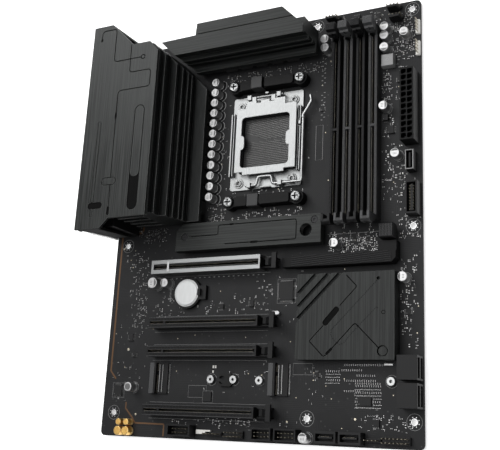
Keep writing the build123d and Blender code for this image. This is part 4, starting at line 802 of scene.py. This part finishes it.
# ---- memory slots
DIMM_PITCH = 9.25
DIMM_XS = [184.0 + DIMM_PITCH * i for i in range(4)]
DIMM_KEY_Y = 211.8
slot_contacts, slot_ribs_black, slot_ribs_grey, tower_caps = Mesh(), Mesh(), Mesh(), Mesh()
for index, x in enumerate(DIMM_XS):
    ribs = slot_ribs_grey if index % 2 else slot_ribs_black
    y = 149.4
    while y < 278.4:
        if abs(y - DIMM_KEY_Y) > 1.6:
            for side in (-1, 1):
                slot_contacts.block(x + side * 0.92, y, 0.34, 0.42, (4.0, 7.5), 0.1)
        y += 0.85
    for k in range(36):
        y = 150.2 + 3.6 * k
        for side in (-1, 1):
            ribs.block(x + side * 2.3, y, 0.7, 2.3, (8.98, 9.14), 0.05)
    guides = tower_caps if index % 2 else ribs
    for side in (-1, 1):
        for middle in (x + side * 1.75, x + side * 2.9):
            ribs.slab((middle - 0.12, middle + 0.12), (148.4, 278.6), (8.98, 9.2), 0.05)
        guides.slab((x + side * 2.3 - 0.8, x + side * 2.3 + 0.8), (142.8, 147.8), (22.38, 22.62), 0.1)
        guides.slab((x + side * 2.3 - 0.8, x + side * 2.3 + 0.8), (141.2, 141.5), (16.2, 21.0), 0.0)
for index, x in enumerate(DIMM_XS, start=1):
    latch_ribs = Mesh()
    for k in range(6):
        y = 283.2 + 0.8 * k
        latch_ribs.block(x, y, 5.6, 0.32, (21.9, 22.22), 0.08, 8.0)
    latch_ribs.block(x, 281.4, 1.0, 1.2, (17.9, 18.3), 0.1)
    light = index % 2 == 0
    piece(f"memory_latch_{index}_ribs", latch_ribs, "latch_grey" if light else "black_plastic",
          f"memory_latch_{index}")
piece("memory_slot_ribs_black", slot_ribs_black, "black_plastic")
piece("memory_slot_ribs_grey", slot_ribs_grey, "grey_plastic")
piece("memory_tower_caps", tower_caps, "latch_grey")

# ---- expansion slots
SLOT_YS = (120.60, 79.96, 59.64, 19.00)
slot_ribs, slot_window_shades = Mesh(), Mesh()
for index, y in enumerate(SLOT_YS):
    x = 44.4
    while x < 129.0:
        if abs(x - 55.8) > 1.5:
            for side in (-1, 1):
                slot_contacts.block(x, y + side * 0.78, 0.42, 0.26, (6.0, 10.7), 0.08)
        x += 1.0
    if index:
        for side in (-1, 1):
            outer, inner = y + side * 3.4, y + side * 1.15
            slot_ribs.slab((42.6, 130.8), (outer - 0.15, outer + 0.15), (11.18, 11.36), 0.05)
            slot_ribs.slab((44.0, 129.4), (inner - 0.12, inner + 0.12), (11.18, 11.30), 0.04)
        for h in (5.6, 10.6):
            slot_ribs.slab((42.6, 130.8), (y - 3.78, y - 3.59), (h, h + 0.3), 0.0)
        # painted shade: thin dark sheets on the housing top and side stand for the shade inside its windows
        for k in range(33):
            x = 46.2 + 2.54 * k
            for side in (-1, 1):
                slot_window_shades.block(x, y + side * 2.25, 1.7, 1.2, (11.19, 11.24), 0.0)
            slot_window_shades.slab((x - 0.85, x + 0.85), (y - 3.64, y - 3.59), (6.4, 10.0), 0.0)
piece("slot_contacts", slot_contacts, "contact_gold")
piece("expansion_slot_ribs", slot_ribs, "grey_plastic")
piece("expansion_slot_window_shades", slot_window_shades, "dark_plastic")
shell_tabs = Mesh()
shell_tabs.slab((54.9, 56.7), (SLOT_YS[0] - 3.6, SLOT_YS[0] + 3.6), (11.68, 11.86), 0.06)
for x in (47.0, 64.0, 86.0, 108.0, 125.0):
    for side in (-1, 1):
        shell_tabs.block(x, SLOT_YS[0] + side * 4.6, 2.0, 1.0, (0.05, 0.5), 0.1)
piece("slot_shell_tabs", shell_tabs, "nickel_steel")

# ---- quick release and its button
release_ribs = Mesh()
SLOPE = math.tan(math.radians(4.5))
for k in range(10):
    x = 68.0 + 17.0 * k
    first = max(x, 154.4)
    last = min(x + 6.9 / SLOPE, 225.4)
    low = 116.4 + (first - x) * SLOPE
    high = 116.4 + (last - x) * SLOPE
    if last - first > 1.0 and high < 123.5:
        release_ribs.strip(((first, low), (last, high)), 0.62, (9.38, 9.75))
piece("release_ribs", release_ribs, "black_plastic")
button_ribs = Mesh()
for k in range(9):
    x = 218.5 + 0.98 * k
    lean = 0.35 * (k - 4) / 4
    button_ribs.strip(((x, 132.8), (x + lean * 0.8, 140.8)), 0.42, (11.98, 12.3))
piece("button_ribs", button_ribs, "grey_plastic", "button")

# ---- header pins and white connectors
PIN_PITCH = 2.54
PIN_HALF = 0.36
POWER_PITCH = 4.2
FAN_HEADERS = ((178.8, 301.4), (225.2, 301.2), (226.8, 293.2))
WHITE_HEADERS = ((242.0, 283.2), (242.0, 266.9))
OPEN_HEADERS = ((96.6, 4.4, 5, 1), (113.0, 4.4, 5, 2), (211.4, 4.6, 4, 1), (226.6, 4.8, 7, 2),
                *((x, y, 1, 4) for x, y in WHITE_HEADERS), *((x, y, 4, 1) for x, y in FAN_HEADERS))
BOX_HEADERS = ((71.8, 5.6, 5, 2), (135.7, 5.3, 5, 2), (153.1, 5.3, 5, 2))
header_pins, white_headers = Mesh(), Mesh()


def grid(x, y, columns, lines, pitch=PIN_PITCH):
    """Places of a grid of pins around its centre."""
    for i in range(columns):
        for j in range(lines):
            yield x + (i - (columns - 1) / 2) * pitch, y + (j - (lines - 1) / 2) * pitch


for headers, pin in ((OPEN_HEADERS, (2.4, 8.56)), (BOX_HEADERS, (1.6, 7.46))):
    for header in headers:
        for x, y in grid(*header):
            header_pins.post(x, y, PIN_HALF, pin, 0.22)
for k in range(9):
    for side in (-1.27, 1.27):
        header_pins.post(238.6 + side, 150.2 + 2.0 * k, 0.3, (1.6, 7.9), 0.2)
piece("header_pins", header_pins, "contact_gold")
fan_guides = Mesh()
for x0, y0 in FAN_HEADERS:
    for k in range(7):
        x = x0 - 3.3 + 1.1 * k
        fan_guides.slab((x - 0.22, x + 0.22), (y0 - 3.0, y0 - 2.68), (0.4, 9.3), 0.1)
piece("fan_header_ribs", fan_guides, "black_plastic")
for x, y in WHITE_HEADERS:
    white_headers.slab((x - 1.4, x + 1.4), (y - 5.2, y + 5.2), (0.02, 2.6), 0.15)
piece("white_headers", white_headers, "white_plastic")
choke_caps = Mesh()
choke_caps.slab((216.2, 225.4), (255.7, 264.9), (0.02, 5.1), 0.5)
choke_caps.turned(220.8, 260.3, ((1.0, 5.09), (1.0, 5.16)), 24)
piece("small_choke", choke_caps, "cap_grey")

# ---- power connector terminals
terminals = Mesh()
for socket in ((237.0, 222.9, 2, 12), (60.0, 297.0, 4, 2), (78.6, 297.0, 2, 2)):
    for x, y in grid(*socket, POWER_PITCH):
        terminals.post(x, y, 0.55, (1.5, 9.6), 0.25)
front_shell = Mesh()
for x, y in (((234.55, 235.25), (177.55, 191.25)), ((239.55, 240.25), (177.55, 191.25)),
             ((235.25, 239.55), (177.55, 178.25)), ((235.25, 239.55), (190.55, 191.25))):
    front_shell.slab(x, y, (7.4, 8.66), 0.08)
piece("front_socket_shell", front_shell, "leg_tin")
piece("power_terminals", terminals, "solder")

# ---- drive sockets
drive_contacts, drive_caps, drive_tips = Mesh(), Mesh(), Mesh()
for x in (42.0, 137.4):
    for k in range(24):
        y = 31.4 + 0.85 * k
        if not 43.6 < y < 46.0:
            drive_contacts.block(x + 5.35, y, 0.7, 0.42, (0.02, 1.6), 0.05)
            drive_tips.block(x - 0.7, y, 1.1, 0.36, (0.02, 0.26), 0.04)
        drive_tips.block(x + 14.2, y, 1.0, 0.34, (0.02, 0.26), 0.04)
    drive_caps.slab((x + 0.1, x + 3.6), (30.5, 51.9), (4.18, 4.5), 0.15)
    for dx in (6.5, 9.0):
        drive_tips.slab((x + dx, x + dx + 0.3), (31.6, 50.8), (1.39, 1.52), 0.03)
piece("drive_contacts", drive_contacts, "contact_gold")
piece("drive_socket_caps", drive_caps, "latch_grey")
piece("drive_socket_tips", drive_tips, "port_steel")

# ---- data connector contacts
data_contacts = Mesh()
for x0 in (173.7, 190.4):
    for k in range(7):
        data_contacts.block(x0 + 3.9 + 1.27 * k, 5.76, 0.5, 0.12, (3.0, 7.5), 0.03)
for y0 in (24.2, 41.2):
    for h in (1.6, 8.0):
        for k in range(7):
            y = y0 + 3.9 + 1.27 * k
            data_contacts.slab((237.4, 242.2), (y - 0.25, y + 0.25), (h + 2.69, h + 2.8), 0.03)
for k in range(9):
    y = 150.6 + 2.0 * k
    for side in (-1, 1):
        data_contacts.block(238.6 + side * 0.86, y, 0.12, 0.7, (2.0, 7.0), 0.03)
piece("data_contacts", data_contacts, "contact_gold")

# ---- chipset heatsink and socket trim
perforation_shades = Mesh()
PATH = ((216.2, 103.6), (185.3, 72.4), (185.1, 69.5), (187.6, 65.6), (191.4, 63.0), (194.5, 64.3),
        (198.6, 69.3), (216.0, 86.5), (218.0, 85.6))
CHIPSET_TOP = 11.0
# painted shade: flat dark discs along a path on the heatsink top stand for the shade inside its perforations
for (ax, ay), (bx, by) in zip(PATH, PATH[1:]):
    steps = max(1, round(math.hypot(bx - ax, by - ay) / 1.35))
    for k in range(steps):
        x, y = ax + (bx - ax) * k / steps, ay + (by - ay) * k / steps
        perforation_shades.turned(x, y, ((0.36, CHIPSET_TOP - 0.01), (0.36, CHIPSET_TOP + FILM)), 12)
piece("heatsink_perforation_shades", perforation_shades, "dark_plastic")

bracket_tabs = Mesh()
for y, top in ((166.5, 9.0), (256.5, 11.0)):
    bracket_tabs.slab((117.1, 125.7), (y - 4.2, y + 4.4), (top - 0.02, top + 0.24), 0.1)
    bracket_tabs.slab((117.1, 125.7), (y - 4.45, y - 4.25), (1.2, top), 0.0)
piece("bracket_tabs", bracket_tabs, "grey_plastic")
rear_rim = Mesh()
rear_rim.tube(((-2.68, 143.5, 45.0), (-2.68, 146.8, 4.4), (-2.45, 147.0, -1.7)), 0.20)
rear_rim.tube(((0.9, 144.5, 34.0), (0.9, 146.9, 4.0), (0.9, 147.0, -1.0)), 0.16)
for k in range(15):
    h = 32.0 - 2.2 * k
    y = 146.95 if h < 4.4 else 146.9 - (h - 4.4) * 0.0825
    rear_rim.tube(((-2.5, y - 0.05, h), (0.8, y - 0.05, h)), 0.10, 6)
piece("rear_shield_rim", rear_rim, "port_steel")

# ---- solder tails under the board
tails = Mesh()


def tail(x, y, radius=0.42, length=1.3):
    """Cone of solder around a clipped pin under the board."""
    under = -BOARD_T
    tails.turned(x, y, ((radius * 0.3, under - length), (radius * 0.5, under - length * 0.5),
                        (radius * 1.6, under - 0.12), (radius * 1.7, under + 0.02)), 8)


for x in DIMM_XS:
    for k in range(72):
        y = 153.0 + 1.7 * k
        if abs(y - 213.6) > 1.8:
            tail(x + (1.9 if k % 2 else -1.9), y)
            tail(x + (0.6 if k % 2 else -0.6), y)
for y in SLOT_YS:
    for k in range(41):
        x = 47.0 + 1.95 * k
        tail(x, y + (2.2 if k % 2 else -2.2))
        tail(x, y + (0.8 if k % 2 else -0.8))
for header in OPEN_HEADERS + BOX_HEADERS:
    for x, y in grid(*header):
        tail(x, y, 0.5)
for j in range(12):
    for side in (-2.1, 2.1):
        if 1.2 < j < 10.8 or side > 0:
            tail(237.0 + side, 222.9 + (j - 5.5) * POWER_PITCH, 0.8, 1.6)
for x, y in SOCKET_CANS:
    tail(x, y - 1.7, 0.5)
    tail(x, y + 1.7, 0.5)
piece("solder_tails", tails, "solder")

# ---- camera, floor and light
SENSOR = 36
FOCAL = 60.6096
camera_data = bpy.data.cameras.new("photo_camera")
camera_data.sensor_width = SENSOR
camera_data.lens = FOCAL
camera_data.shift_x = -0.0333
camera_data.shift_y = -0.0576
camera_data.clip_start = 0.01
camera = bpy.data.objects.new("photo_camera", camera_data)
bpy.context.scene.collection.objects.link(camera)
ahead = Vector((-0.4411, 0.2716, -0.8554)).normalized()
up = Vector((0.0857, 0.9615, 0.2611))
right = ahead.cross(up).normalized()
up = right.cross(ahead)
place = Matrix((right, up, -ahead)).transposed().to_4x4()
place.translation = at(396.45, 5.81, 519.74)
camera.matrix_world = place
bpy.context.scene.camera = camera
bpy.context.scene.view_settings.view_transform = "Standard"

floor_look, nodes, links, bsdf = node_tree("studio_floor")
paint = ramp(nodes, links, noise(nodes, links, 20.0), ((0.3, 0.90), (0.7, 0.93)))
links.new(paint, bsdf.inputs["Base Color"])
bsdf.inputs["Roughness"].default_value = 0.7
bsdf.inputs["Emission Color"].default_value = (1.0, 1.0, 1.0, 1.0)
bsdf.inputs["Emission Strength"].default_value = 0.55
floor_mesh = bpy.data.meshes.new("studio_floor")
SIDE = 20.0
ground = CAD_BOX[0].z - 0.0003      # just clear of the backplate
corners = [(-SIDE, -SIDE, ground), (SIDE, -SIDE, ground), (SIDE, SIDE, ground), (-SIDE, SIDE, ground)]
floor_mesh.from_pydata(corners, [], [(0, 1, 2, 3)])
floor_mesh.materials.append(floor_look)
floor = bpy.data.objects.new("studio_floor", floor_mesh)
bpy.context.scene.collection.objects.link(floor)


def area_light(name, where, aim, size, power):
    data = bpy.data.lights.new(name, "AREA")
    data.shape = "RECTANGLE"
    data.size, data.size_y = size
    data.energy = power
    light = bpy.data.objects.new(name, data)
    light.location = where
    light.rotation_euler = (Vector(aim) - Vector(where)).to_track_quat("-Z", "Y").to_euler()
    bpy.context.scene.collection.objects.link(light)


area_light("key_left", (-1.2, 1.2, 1.5), (-0.05, 0.1, 0), (0.7, 0.7), 15)
area_light("fill_front", (0.5, -1.1, 0.8), (0, 0, 0), (1.2, 1.2), 5)
area_light("top_soft", (-0.2, 0.25, 1.5), (0, 0, 0), (1.4, 1.4), 20)
world = bpy.data.worlds.new("studio")
world.use_nodes = True
world.node_tree.nodes["Background"].inputs["Color"].default_value = (0.95, 0.97, 1.0, 1)
world.node_tree.nodes["Background"].inputs["Strength"].default_value = 0.12
bpy.context.scene.world = world
